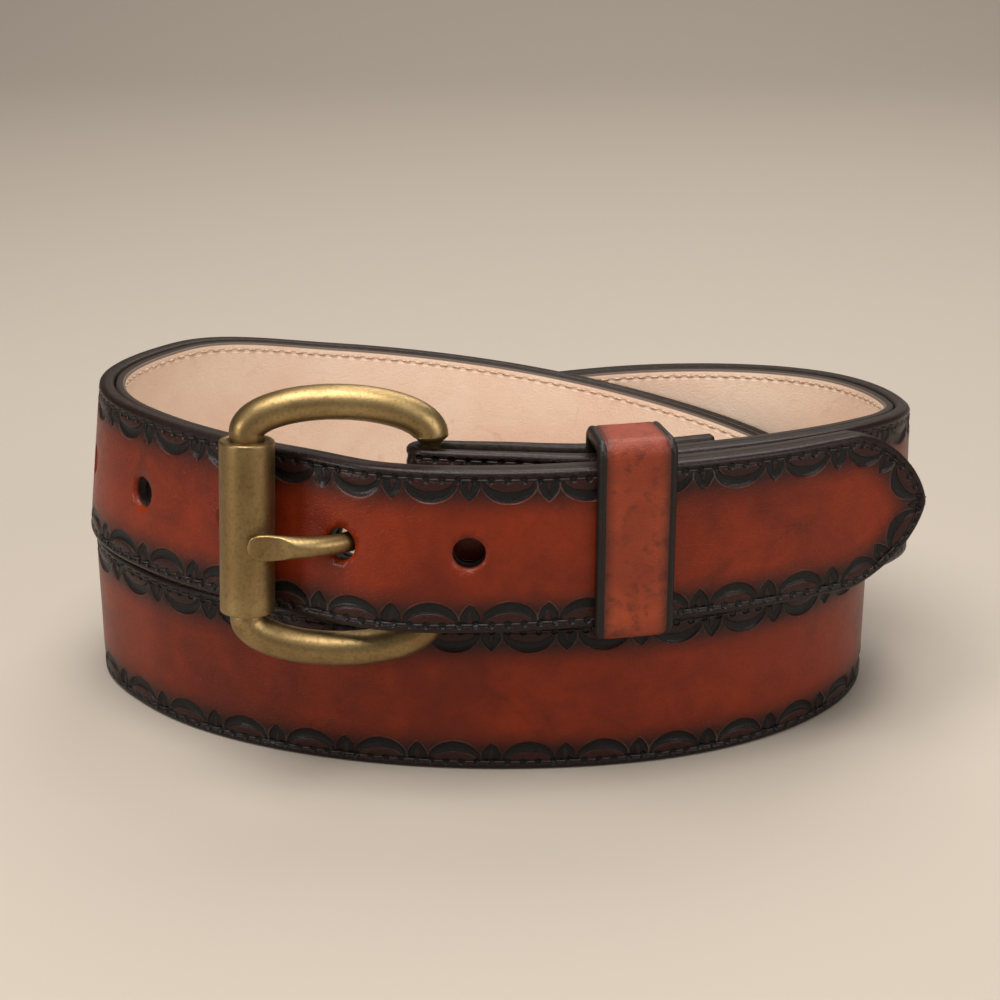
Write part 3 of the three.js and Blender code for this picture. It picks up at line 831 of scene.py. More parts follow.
class Strap:
    """The strap's two layers and the thread that joins them. Lengths are in millimetres."""

    row_step = 0.88
    lining_step = 1.3
    tip_rows = 40
    middle_half = 8.5
    middle_count = 15
    leather_front = (
        0.0, 0.12, 0.35, 0.7, 1.05, 1.4, 1.75, 2.1, 2.5, 2.95, 3.4, 3.85, 4.3, 4.75, 5.2, 5.7, 6.2, 6.9
    )
    leather_back = (0.0, 0.4, 1.2)
    lining_front = (0.0, 1.0, 3.0)
    lining_back = (0.0, 0.1, 0.25, 0.5, 0.9, 1.3, 1.7, 2.1, 3.0, 5.0)
    lining_past_keeper = 1.2
    slot_room = 1.0
    seam_samples = 4000
    seam_end = 0.9
    face_seam_inset = 3.0
    back_seam_inset = 0.8
    stitch_rings = 7
    stitch_sides = 6
    stitch_radius = 0.24
    stitch_share = 0.40
    stitch_crown = 0.192
    stitch_fall = 0.45
    face_depth = 0.40
    back_depth = 0.16

    def build(self) -> None:
        """Makes and dresses the leather, the lining and the stitches."""
        leather, lining = self._leather(), self._lining()
        dressed = (
            (leather, TooledLeather(), "tooled_leather"),
            (lining, NaturalLeather(), "natural_leather"),
            (self._stitches("seam_front", Side.FACE), FACE_THREAD, "tooled_leather"),
            (self._stitches("seam_back", Side.BACK), BACK_THREAD, "natural_leather"),
        )
        for piece, finish, slot in dressed:
            piece.data.materials.append(finish.material())
        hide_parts("strap_outer")
        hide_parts("strap_lining")

    def _rows(self, start: float, step: float) -> Array:
        """The lengths of a layer's rows: even, then closer and closer towards the tip."""
        tip_start = PLAN.end - STRAP.tip_length
        body = np.linspace(start, tip_start, int((tip_start - start) / step))
        eased = np.sin(np.linspace(0.0, math.pi / 2, self.tip_rows + 2)[1:-1])
        return np.concatenate([body, tip_start + STRAP.tip_length * eased])

    def _piece(self, name: str, layer: Layer, start: float, step: float) -> bpy.types.Object:
        """A layer as a piece that keeps its places.

        Args:
            name: the piece's name.
            layer: the layer.
            start: the length where it begins.
            step: from one row to the next.

        Returns:
            The object.
        """
        points, faces, places = layer.build(self._rows(start, step))
        piece = make_mesh(name, points, faces, "belt")
        set_places(piece, places)
        LOG.info("%s: %d faces", name, len(piece.data.polygons))
        return piece

    def _leather(self) -> bpy.types.Object:
        """The tooled leather with its turned-back end, its holes and the prong's slot."""
        loop = BUCKLE.prong_loop_radius + self.slot_room
        layer = Layer(
            front_inward=self.leather_front,
            middle_half=self.middle_half,
            middle_count=self.middle_count,
            back_inward=self.leather_back,
            start_depth=np.zeros_like,
            thickness=self._leather_thickness,
            inset=0.0,
            rounding=1.0,
            back_rounding=0.4,
            relief=BORDER.relief,
            holes=PLAN.holes(),
            slot=(-PLAN.fold_length - loop, loop),
        )
        return self._piece("belt_strap", layer, -PLAN.fold_length - STRAP.turn_back, self.row_step)

    @staticmethod
    def _leather_thickness(s: Array) -> Array:
        """The leather's thickness from the turned-back end to the tip."""
        before_fold = np.maximum(-s - PLAN.fold_length, 0.0)
        return PLAN.leather_at(np.where(s < 0, before_fold, s))

    def _lining(self) -> bpy.types.Object:
        """The lining from just past the keeper to the tip."""
        layer = Layer(
            front_inward=self.lining_front,
            middle_half=self.middle_half,
            middle_count=self.middle_count,
            back_inward=self.lining_back,
            start_depth=lambda s: PLAN.leather_at(s) + STRAP.gap,
            thickness=lambda s: np.full_like(s, STRAP.lining),
            inset=STRAP.lining_inset,
            rounding=0.15,
            back_rounding=0.5,
            holes=PLAN.holes(),
        )
        return self._piece("belt_lining", layer, PLAN.lining_start, self.lining_step)

    def _seam_line(self, start: float) -> tuple[Array, Array]:
        """The upper seam: the strap's outline moved in by the seam's distance.

        Args:
            start: the length where it begins.

        Returns:
            The length along the edge, and length and height, of each point that lies above the strap's middle.
        """
        along = start + (OUTLINE.s[0] - start) * np.linspace(0.0, 1.0, self.seam_samples)[:-1]
        heights = np.concatenate([np.full(len(along), STRAP.width / 2), OUTLINE.h])
        line = np.stack([np.concatenate([along, OUTLINE.s]), heights], -1)
        slope = unit(np.gradient(line, axis=0))
        seam = line + np.stack([slope[:, 1], -slope[:, 0]], -1) * BORDER.seam
        keep = seam[:, 1] > self.seam_end
        return np.concatenate([along, OUTLINE.run])[keep], seam[keep]

    def _stitches(self, name: str, side: Side) -> bpy.types.Object:
        """Stitches along both edges: short round bars that dip into the leather at both ends.

        Args:
            name: the piece's name.
            side: the side that they show on.

        Returns:
            The object. A stitch is a tube along the seam that stands crown - fall * t4 out of the skin, for t from
            -1 to 1.
        """
        on_face = side is Side.FACE
        turned_back = -PLAN.fold_length - STRAP.turn_back
        start = turned_back + self.face_seam_inset if on_face else PLAN.lining_start + self.back_seam_inset
        run, seam = self._seam_line(start)
        pitch = BORDER.stitch_pitch
        centres = np.arange(math.ceil(start / pitch) + 1, run[-1] / pitch) * pitch
        t = np.linspace(-1.0, 1.0, self.stitch_rings)
        at = centres[:, None] + t[None] * pitch * self.stitch_share
        s, h = np.interp(at, run, seam[:, 0]), np.interp(at, run, seam[:, 1])
        s, h = np.concatenate([s, s]), np.concatenate([h, -h])
        if on_face:
            on_fold = np.abs(s.mean(axis=1) + PLAN.fold_length / 2) < PLAN.fold_length / 2
            s, h = s[~on_fold], h[~on_fold]
            level = np.full(s.size, self.face_depth)
        else:
            level = PLAN.leather_at(s.ravel()) + STRAP.gap + STRAP.lining - self.back_depth
        level += side.value * np.tile(self.stitch_crown - self.stitch_fall * t**4, len(s))
        ring = circle_angles(self.stitch_sides)
        depth = level[:, None] + self.stitch_radius * np.sin(ring)
        height = h.ravel()[:, None] + self.stitch_radius * np.cos(ring)
        points = PLAN.strip(s.ravel()).at(depth, height)
        first = np.arange(len(s))[:, None] * len(t) * len(ring)
        sides = loop_grid(len(t), len(ring)).reshape(-1, 4) + first[..., None]
        low = np.arange(len(ring))
        high = low[::-1] + (len(t) - 1) * len(ring)
        faces = sides.reshape(-1, 4).tolist() + (first + low).tolist() + (first + high).tolist()
        piece = make_mesh(name, points, faces, "belt")
        flip_inward(piece)
        LOG.info("%s: %d stitches", name, len(s))
        return piece


def flip_inward(piece: bpy.types.Object) -> None:
    """Turns a piece's faces round where they enclose a negative volume.

    Args:
        piece: a closed mesh or several.
    """
    mesh = piece.data
    mesh.calc_loop_triangles()
    corners = np.zeros(len(mesh.loop_triangles) * 3, np.int32)
    mesh.loop_triangles.foreach_get("vertices", corners)
    points = np.zeros(len(mesh.vertices) * 3, np.float32)
    mesh.vertices.foreach_get("co", points)
    a, b, c = (points.reshape(-1, 3)[corners.reshape(-1, 3)[:, k]] for k in range(3))
    if np.einsum("ij,ij->i", a, np.cross(b, c)).sum() < 0:
        mesh.flip_normals()


def sweep(centres: Array, first: Array, second: Array, profile: Array, closed: bool) -> tuple[Array, list]:
    """A skin along a line of centres.

    Args:
        centres: a point per ring.
        first: the first axis of each ring.
        second: the second axis of each ring.
        profile: coordinates on both axes, for each ring or for all of them.
        closed: whether the last ring joins the first.

    Returns:
        Points, each centre + x * first + y * second, and faces.
    """
    profile = np.broadcast_to(profile, (len(centres), *profile.shape[-2:]))
    points = (
        centres[:, None]
        + profile[..., 0, None] * first[:, None]
        + profile[..., 1, None] * second[:, None]
    )
    rows, columns = points.shape[:2]
    if closed:
        cells = loop_grid(rows + 1, columns) % (rows * columns)
        return points.reshape(-1, 3), cells.reshape(-1, 4).tolist()
    faces = loop_grid(rows, columns).reshape(-1, 4).tolist()
    faces.append(list(range(columns)))
    faces.append([(rows - 1) * columns + k for k in reversed(range(columns))])
    return points.reshape(-1, 3), faces


def together(*skins: tuple[Array, list]) -> tuple[Array, list]:
    """Several skins as one set of points and faces."""
    points, faces, base = [], [], 0
    for skin_points, skin_faces in skins:
        points.append(skin_points)
        faces += [[v + base for v in face] for face in skin_faces]
        base += len(skin_points)
    return np.concatenate(points), faces


class Keeper:
    """The keeper: a leather band with creased, rounded edges. Lengths are in millimetres."""

    rows = 44
    corner_points = 8
    side_points = 16
    rise_half = 8.0
    edge_rounding = 0.7
    edge_loss = 0.7
    crease_depth = 0.14
    crease_inward = 1.5
    crease_half = 0.3
    coil_turns = 2.0

    def build(self) -> None:
        """Makes and dresses the keeper."""
        points, order, edge = self._skin()
        columns = points.shape[1]
        cells = loop_grid(2 * self.rows + 1, columns) % (2 * self.rows * columns)
        piece = make_mesh("keeper", points, cells.reshape(-1, 4).tolist(), "belt")
        flip_inward(piece)
        run, inward = np.meshgrid(np.arange(columns), edge[order])
        zone = np.repeat([Zone.FLESH.value, Zone.GRAIN.value], self.rows * columns)
        set_places(piece, np.stack([run.ravel(), inward.ravel(), zone], axis=-1))
        piece.data.materials.append(KeeperLeather().material())
        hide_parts("keeper_loop")
        LOG.info("keeper: %d faces", len(piece.data.polygons))

    def _skin(self) -> tuple[Array, Array, Array]:
        """The keeper's skin: rings along the inside of the loop, then back along its outside.

        Returns:
            The points, the number of each ring's place on the strap, and each place's distance from the keeper's
            edge. The outside stands the edge profile's share of the half wall away from the wall's middle, and the
            upper half is lifted by the headroom.
        """
        offset = np.linspace(0.0, KEEPER.width, self.rows)
        edge = np.minimum(offset, KEEPER.width - offset)
        near, far = -STRAP.gap, STRAP.pitch + STRAP.leather + STRAP.gap
        half = STRAP.width / 2 + KEEPER.edge_clearance
        inner = self._loop(near, far, half, KEEPER.inner_corner)
        outer = self._loop(near - KEEPER.wall, far + KEEPER.wall, half + KEEPER.wall, KEEPER.corner)
        middle = (inner + outer) / 2
        outside = middle + (outer - middle) * self._edge_profile(edge)[:, None, None]
        skin = np.concatenate([np.broadcast_to(inner, outside.shape), outside[::-1]])
        skin[..., 1] += KEEPER.headroom * smoothstep(skin[..., 1], -self.rise_half, self.rise_half)
        order = np.concatenate([np.arange(self.rows), np.arange(self.rows)[::-1]])
        length = PLAN.heel_length + KEEPER.from_heel + offset
        frames = PLAN.path.frames(PLAN.path.turn_at(length)[order] + self.coil_turns)
        return frames.at(skin[..., 0], skin[..., 1]), order, edge

    def _edge_profile(self, edge: Array) -> Array:
        """The outer skin's share of the half wall: rounded at both edges, with a creased line beside them."""
        rounding = 1.0 - self.edge_loss * np.clip(1.0 - edge / self.edge_rounding, 0.0, 1.0) ** 2
        return rounding - self.crease_depth * np.exp(-(((edge - self.crease_inward) / self.crease_half) ** 2))

    def _loop(self, near: float, far: float, half: float, corner: float) -> Array:
        """A rounded rectangle round the strap as depths and heights, with points along its sides too.

        Args:
            near: the depth of its front side.
            far: the depth of its back side.
            half: half its height.
            corner: its corners' radius.

        Returns:
            The points, once round.
        """
        middle, deep = (near + far) / 2, (far - near) / 2
        arcs = []
        for quarter, (sx, sy) in enumerate(((1, 1), (-1, 1), (-1, -1), (1, -1))):
            angle = math.pi / 2 * (quarter + np.linspace(0.0, 1.0, self.corner_points))
            x = middle + sx * (deep - corner) + np.cos(angle) * corner
            y = sy * (half - corner) + np.sin(angle) * corner
            arcs.append(np.stack([x, y], -1))
        t = np.linspace(0.0, 1.0, self.side_points)[1:-1, None]
        parts = []
        for arc, after in zip(arcs, arcs[1:] + arcs[:1]):
            parts += [arc, arc[-1] + (after[0] - arc[-1]) * t]
        return np.concatenate(parts)


class ShankRow(NamedTuple):
    """One row of the prong's shank.

    reach is a share of the bar spacing, rise of the climb over the roller and drop of the prong's drop. half and
    depth are shares of the prong's radius.
    """

    reach: float
    rise: float
    drop: float
    half: float
    depth: float


SHANK_ROWS = (
    ShankRow(0.093, 0.0, 0.0, 1.0, 0.85),
    ShankRow(0.22, -0.02, 0.15, 1.0, 1.0),
    ShankRow(0.327, 0.06, 0.6, 0.97, 0.97),
    ShankRow(0.42, 0.33, 0.95, 0.93, 0.93),
    ShankRow(0.51, 0.65, 1.0, 0.9, 0.9),
    ShankRow(0.61, 0.87, 1.0, 0.92, 0.92),
    ShankRow(0.73, 0.97, 1.0, 1.0, 0.95),
    ShankRow(0.83, 1.0, 1.0, 1.15, 0.88),
    ShankRow(0.9, 1.0, 1.0, 1.22, 0.72),
    ShankRow(0.96, 1.0, 1.0, 1.02, 0.58),
    ShankRow(0.985, 1.0, 1.0, 0.7, 0.42),
    ShankRow(0.997, 1.0, 1.0, 0.12, 0.1),
)


class Buckle:
    """The buckle: the ring, the roller and the prong, in a frame whose origin lies on the heel bar.

    Lengths are in millimetres.
    """

    arc_points = 64
    bar_points = 40
    rod_sides = 32
    bar_share = 0.905
    lip = 0.45
    lip_points = 6
    wall_inset = 1.2
    wall_points = 24
    roller_sides = 72
    climb_share = 0.72
    shank_points = 60
    tip_from = 0.9
    tip_points = 25
    shank_sides = 40
    facet_share = 0.62
    facet_ramp = (0.72, 0.84)
    facet_crown = 0.08
    loop_sides = 48
    loop_ease = 0.4

    @property
    def straight(self) -> float:
        """Half the length of the ring's straight bars."""
        return self.roller_half + BUCKLE.end_play

    @property
    def roller_half(self) -> float:
        """Half the roller's length."""
        return STRAP.width / 2 + BUCKLE.roller_overhang

    def build(self) -> None:
        """Makes and dresses the three pieces."""
        brass = AntiqueBrass().material()
        pieces = (
            ("ring", self._ring(), "belt", "buckle_frame"),
            ("roller", self._roller(), "roller", "buckle_roller"),
            ("prong", self._prong(), "belt", "buckle_prong"),
        )
        for name, (points, faces), body, node in pieces:
            piece = make_mesh(name, points, faces, body)
            flip_inward(piece)
            piece.data.materials.append(brass)
            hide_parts(node)
            LOG.info("%s: %d faces", name, len(faces))

    @staticmethod
    def _sweep(centres: Array, first: Array, second: Array, profile: Array, closed: bool) -> tuple[Array, list]:
        """A sweep whose line is given in the buckle's frame."""
        axes = PLAN.buckle_axes
        return sweep(PLAN.to_world(centres), first @ axes, second @ axes, profile, closed)

    def _turned(self, profile: Array, sides: int, x: float) -> tuple[Array, list]:
        """A profile turned round an upright axis.

        Args:
            profile: radii and heights, once round.
            sides: how many times it is repeated round the axis.
            x: the axis' distance from the heel bar.

        Returns:
            Points and faces. A point lies at (x + r cos a, r sin a, z).
        """
        angle = circle_angles(sides)
        radial = np.stack([np.cos(angle), np.sin(angle), np.zeros(sides)], -1)
        upright = np.broadcast_to([0.0, 0.0, 1.0], radial.shape)
        return self._sweep(np.zeros_like(radial) + [x, 0.0, 0.0], radial, upright, profile, True)

    def _ring(self) -> tuple[Array, list]:
        """The ring: a round rod along two straight bars and two half-oval arcs, thin at the heel bar.

        Returns:
            Points and faces. On the arcs x = (1 - cos a) / 2 of the spacing and z = straight + rise * sin a.
        """
        spacing, straight = BUCKLE.bar_spacing, self.straight
        a = np.linspace(0.0, math.pi, self.arc_points)
        arc_x = spacing / 2 * (1.0 - np.cos(a))
        arc_z = straight + BUCKLE.rise * np.sin(a)
        bar = np.linspace(straight, -straight, self.bar_points + 2)[1:-1]
        x = np.concatenate([arc_x, np.full(len(bar), spacing), arc_x[::-1], np.zeros(len(bar))])
        z = np.concatenate([arc_z, bar, -arc_z[::-1], -bar])
        near_end = smoothstep(np.abs(z), straight * self.bar_share, straight)
        on_heel, on_roller = x < TINY, x > spacing - TINY
        thin = np.select([on_heel, on_roller], [BUCKLE.heel_radius, BUCKLE.roller_bar_radius], BUCKLE.rod_radius)
        radius = thin + (BUCKLE.rod_radius - thin) * near_end
        offset = BUCKLE.rod_radius - BUCKLE.heel_radius
        y = offset * (1.0 - x / spacing) * np.where(on_heel, near_end, 1.0)
        centres = np.stack([x, y, z], -1)
        ahead = np.roll(centres, -1, axis=0) - np.roll(centres, 1, axis=0)
        ahead[:, 1] = 0.0
        outward = np.broadcast_to([0.0, 1.0, 0.0], centres.shape)
        angle = circle_angles(self.rod_sides)
        circle = np.stack([np.cos(angle), np.sin(angle)], -1)
        return self._sweep(centres, outward, np.cross(outward, unit(ahead)), radius[:, None, None] * circle, True)

    def _roller(self) -> tuple[Array, list]:
        """The roller: a tube with eased lips, turned round the front bar."""
        inner = BUCKLE.roller_bar_radius + BUCKLE.roller_running
        outer, half, lip = BUCKLE.roller_radius, self.roller_half, self.lip
        quarter = np.linspace(0.0, math.pi / 2, self.lip_points)
        top_lip = np.stack([outer - lip + lip * np.cos(quarter), half - lip + lip * np.sin(quarter)], -1)
        walls = np.linspace(-half + self.wall_inset, half - self.wall_inset, self.wall_points)
        outside = np.stack([np.full(len(walls), outer), walls], -1)
        inside = np.array([[inner, half], [inner, -half]])
        profile = np.concatenate([outside, top_lip, inside, top_lip[::-1] * (1.0, -1.0)])
        return self._turned(profile, self.roller_sides, BUCKLE.bar_spacing)

    def _prong(self) -> tuple[Array, list]:
        """The prong: a loop round the heel bar, and a round shank that widens to a flat oval tip.

        Returns:
            Points and faces. Half width and depth follow the shank's rows; the tip's outer side is cut flat.
        """
        reach, rise, drop, half, depth = np.array(SHANK_ROWS).T
        tip = np.sin(np.linspace(0.0, math.pi / 2, self.tip_points + 1))[1:]
        shank = np.linspace(reach[0], self.tip_from, self.shank_points)
        fine = np.concatenate([shank, self.tip_from + (reach[-1] - self.tip_from) * tip])

        def curve(rows: Array) -> Array:
            """A column of the rows along the shank: the cubic with average slopes."""
            return hermite(reach, rows, np.gradient(rows, reach), fine)

        climb = BUCKLE.roller_radius + STRAP.gap + BUCKLE.prong_radius * self.climb_share
        centres = np.stack([fine * BUCKLE.bar_spacing, curve(rise) * climb, -curve(drop) * BUCKLE.prong_drop], -1)
        upright = np.broadcast_to([0.0, 0.0, 1.0], centres.shape)
        outward = np.cross(upright, unit(np.gradient(centres, axis=0)))
        angle = circle_angles(self.shank_sides)
        widths, depths = ((curve(rows) * BUCKLE.prong_radius)[:, None] for rows in (half, depth))
        high = np.sin(angle) * depths
        flat = depths * (1.0 - self.facet_share * smoothstep(fine, *self.facet_ramp)[:, None])
        high = np.where(high > flat, flat + (high - flat) * self.facet_crown, high)
        profile = np.stack([np.cos(angle) * widths, high], -1)
        return together(self._sweep(centres, upright, outward, profile, False), self._prong_loop())

    def _prong_loop(self) -> tuple[Array, list]:
        """The loop that turns on the heel bar: a flat band with eased corners, turned round the bar."""
        inner, outer = BUCKLE.heel_radius + STRAP.gap, BUCKLE.prong_loop_radius
        half, ease = BUCKLE.prong_radius, self.loop_ease
        lower = np.array([[inner, ease - half], [inner + ease, -half], [outer - ease, -half], [outer, ease - half]])
        return self._turned(np.concatenate([lower, lower[::-1] * (1.0, -1.0)]), self.loop_sides, 0.0)


class Value:
    """A shader value: wraps a socket and turns arithmetic into Math nodes."""

    def __init__(self, tree: bpy.types.NodeTree, socket: bpy.types.NodeSocket) -> None:
        """Keeps the tree and the socket."""
        self.tree = tree
        self.socket = socket

    def math(self, operation: str, *others: "Value | float") -> "Value":
        """A Math node on this value and others."""
        return math_node(self.tree, operation, self, *others)

    def __add__(self, other: "Value | float") -> "Value":
        """Sum."""
        return self.math("ADD", other)

    __radd__ = __add__

    def __sub__(self, other: "Value | float") -> "Value":
        """Difference."""
        return self.math("SUBTRACT", other)

    def __rsub__(self, other: float) -> "Value":
        """Number minus value."""
        return math_node(self.tree, "SUBTRACT", other, self)

    def __mul__(self, other: "Value | float") -> "Value":
        """Product."""
        return self.math("MULTIPLY", other)

    __rmul__ = __mul__

    def __truediv__(self, other: "Value | float") -> "Value":
        """Quotient."""
        return self.math("DIVIDE", other)

    def __pow__(self, other: float) -> "Value":
        """Power."""
        return self.math("POWER", other)

    def __abs__(self) -> "Value":
        """Size without sign."""
        return self.math("ABSOLUTE")

    def below(self, other: "Value | float") -> "Value":
        """The smaller of the two."""
        return self.math("MINIMUM", other)

    def above(self, other: "Value | float") -> "Value":
        """The larger of the two."""
        return self.math("MAXIMUM", other)

    def clipped(self) -> "Value":
        """The value kept between 0 and 1."""
        return self.below(1.0).above(0.0)

    def ramp(self, low: float, high: float) -> "Value":
        """An eased ramp: 0 at low and 1 at high, which may be the smaller."""
        t = ((self - low) / (high - low)).clipped()
        return t * t * (3.0 - 2.0 * t)

    def bell(self, centre: float, width: float) -> "Value":
        """A bell curve: exp(-((x - centre) / width)2)."""
        t = (self - centre) / width
        return (t * t * -1.0).math("EXPONENT")

    def length(self, other: "Value") -> "Value":
        """The root of both squares' sum."""
        return (self * self + other * other).math("SQRT")


def feed(tree: bpy.types.NodeTree, target: bpy.types.NodeSocket, source: object) -> None:
    """Gives an input what it reads.

    Args:
        tree: the node tree.
        target: the input.
        source: a value or a socket, which is linked, or else a number or tuple, which is set.
    """
    if isinstance(source, Value):
        source = source.socket
    if isinstance(source, bpy.types.NodeSocket):
        tree.links.new(source, target)
    else:
        target.default_value = source


def math_node(tree: bpy.types.NodeTree, operation: str, *sources: Value | float) -> Value:
    """A Math node on values and numbers."""
    node = tree.nodes.new("ShaderNodeMath")
    node.operation = operation
    for target, source in zip(node.inputs, sources):
        feed(tree, target, source)
    return Value(tree, node.outputs[0])


class Noise(NamedTuple):
    """A noise pattern: cycles per metre, layers, their roughness, and distortion."""

    scale: float
    detail: float = 3.0
    roughness: float = 0.5
    distortion: float = 0.0


class Shader:
    """A material in the making. A Mix node's colours share their names with other sockets, so they go by number."""

    mix_inputs = (6, 7)
    mix_output = 2

    def __init__(self, name: str) -> None:
        """Makes the material with its Principled shader."""
        self.material = bpy.data.materials.new(name)
        self.material.use_nodes = True
        self.tree = self.material.node_tree
        self.principled = self.tree.nodes["Principled BSDF"]

    def node(self, kind: str, settings: dict | None = None, inputs: dict | None = None) -> bpy.types.Node:
        """A node with its settings, then the values or links of its sockets.

        Args:
            kind: the node's type.
            settings: attributes of the node.
            inputs: socket names or numbers with a number, a tuple, a Value or a socket.

        Returns:
            The node.
        """
        made = self.tree.nodes.new(kind)
        for key, value in (settings or {}).items():
            setattr(made, key, value)
        for key, source in (inputs or {}).items():
            feed(self.tree, made.inputs[key], source)
        return made

    def value(self, socket: bpy.types.NodeSocket) -> Value:
        """A socket as a value."""
        return Value(self.tree, socket)

    def position(self) -> bpy.types.NodeSocket:
        """Object coordinates."""
        return self.node("ShaderNodeTexCoord").outputs["Object"]

    def place(self) -> tuple[Value, Value, Value]:
        """The strap's own coordinates: along the edge, in from the edge, and the zone."""
        attribute = self.node("ShaderNodeAttribute", {"attribute_name": "place"})
        split = self.node("ShaderNodeSeparateXYZ", inputs={0: attribute.outputs["Vector"]})
        run, inward, zone = (self.value(socket) for socket in split.outputs)
        return run, inward, zone

    def noise(self, noise: Noise) -> Value:
        """Noise on object coordinates, between 0 and 1."""
        sockets = {"Scale": noise.scale, "Detail": noise.detail, "Roughness": noise.roughness}
        sockets |= {"Vector": self.position(), "Distortion": noise.distortion}
        return self.value(self.node("ShaderNodeTexNoise", inputs=sockets).outputs["Fac"])

    def pores(self, scale: float, width: float) -> Value:
        """A cell pattern on object coordinates: 0 on the cells' borders and 1 from a width inside them."""
        sockets = {"Vector": self.position(), "Scale": scale}
        made = self.node("ShaderNodeTexVoronoi", {"feature": "DISTANCE_TO_EDGE"}, sockets)
        return self.value(made.outputs["Distance"]).ramp(0.0, width)

    def mix(self, share: Value, first: object, second: object) -> bpy.types.NodeSocket:
        """Two colours mixed by a share."""
        made = self.node("ShaderNodeMix", {"data_type": "RGBA"}, {"Factor": share})
        for key, colour in zip(self.mix_inputs, (first, second)):
            feed(self.tree, made.inputs[key], (*colour, 1.0) if isinstance(colour, tuple) else colour)
        return made.outputs[self.mix_output]

    def bump(self, height: Value) -> None:
        """Sends a height in millimetres to the shader's normal."""
        made = self.node("ShaderNodeBump", inputs={"Height": height, "Distance": MM, "Strength": 1.0})
        self.tree.links.new(made.outputs[0], self.principled.inputs["Normal"])

    def surface(
        self, colour: bpy.types.NodeSocket, roughness: Value | float, **constants: float
    ) -> bpy.types.Material:
        """Sets the shader's own sockets.

        Args:
            colour: the base colour's socket.
            roughness: the roughness as a value or number.
            constants: other sockets by name, with _ for spaces.

        Returns:
            The material.
        """
        feed(self.tree, self.principled.inputs["Base Color"], colour)
        feed(self.tree, self.principled.inputs["Roughness"], roughness)
        for key, number in constants.items():
            self.principled.inputs[key.replace("_", " ")].default_value = number
        return self.material


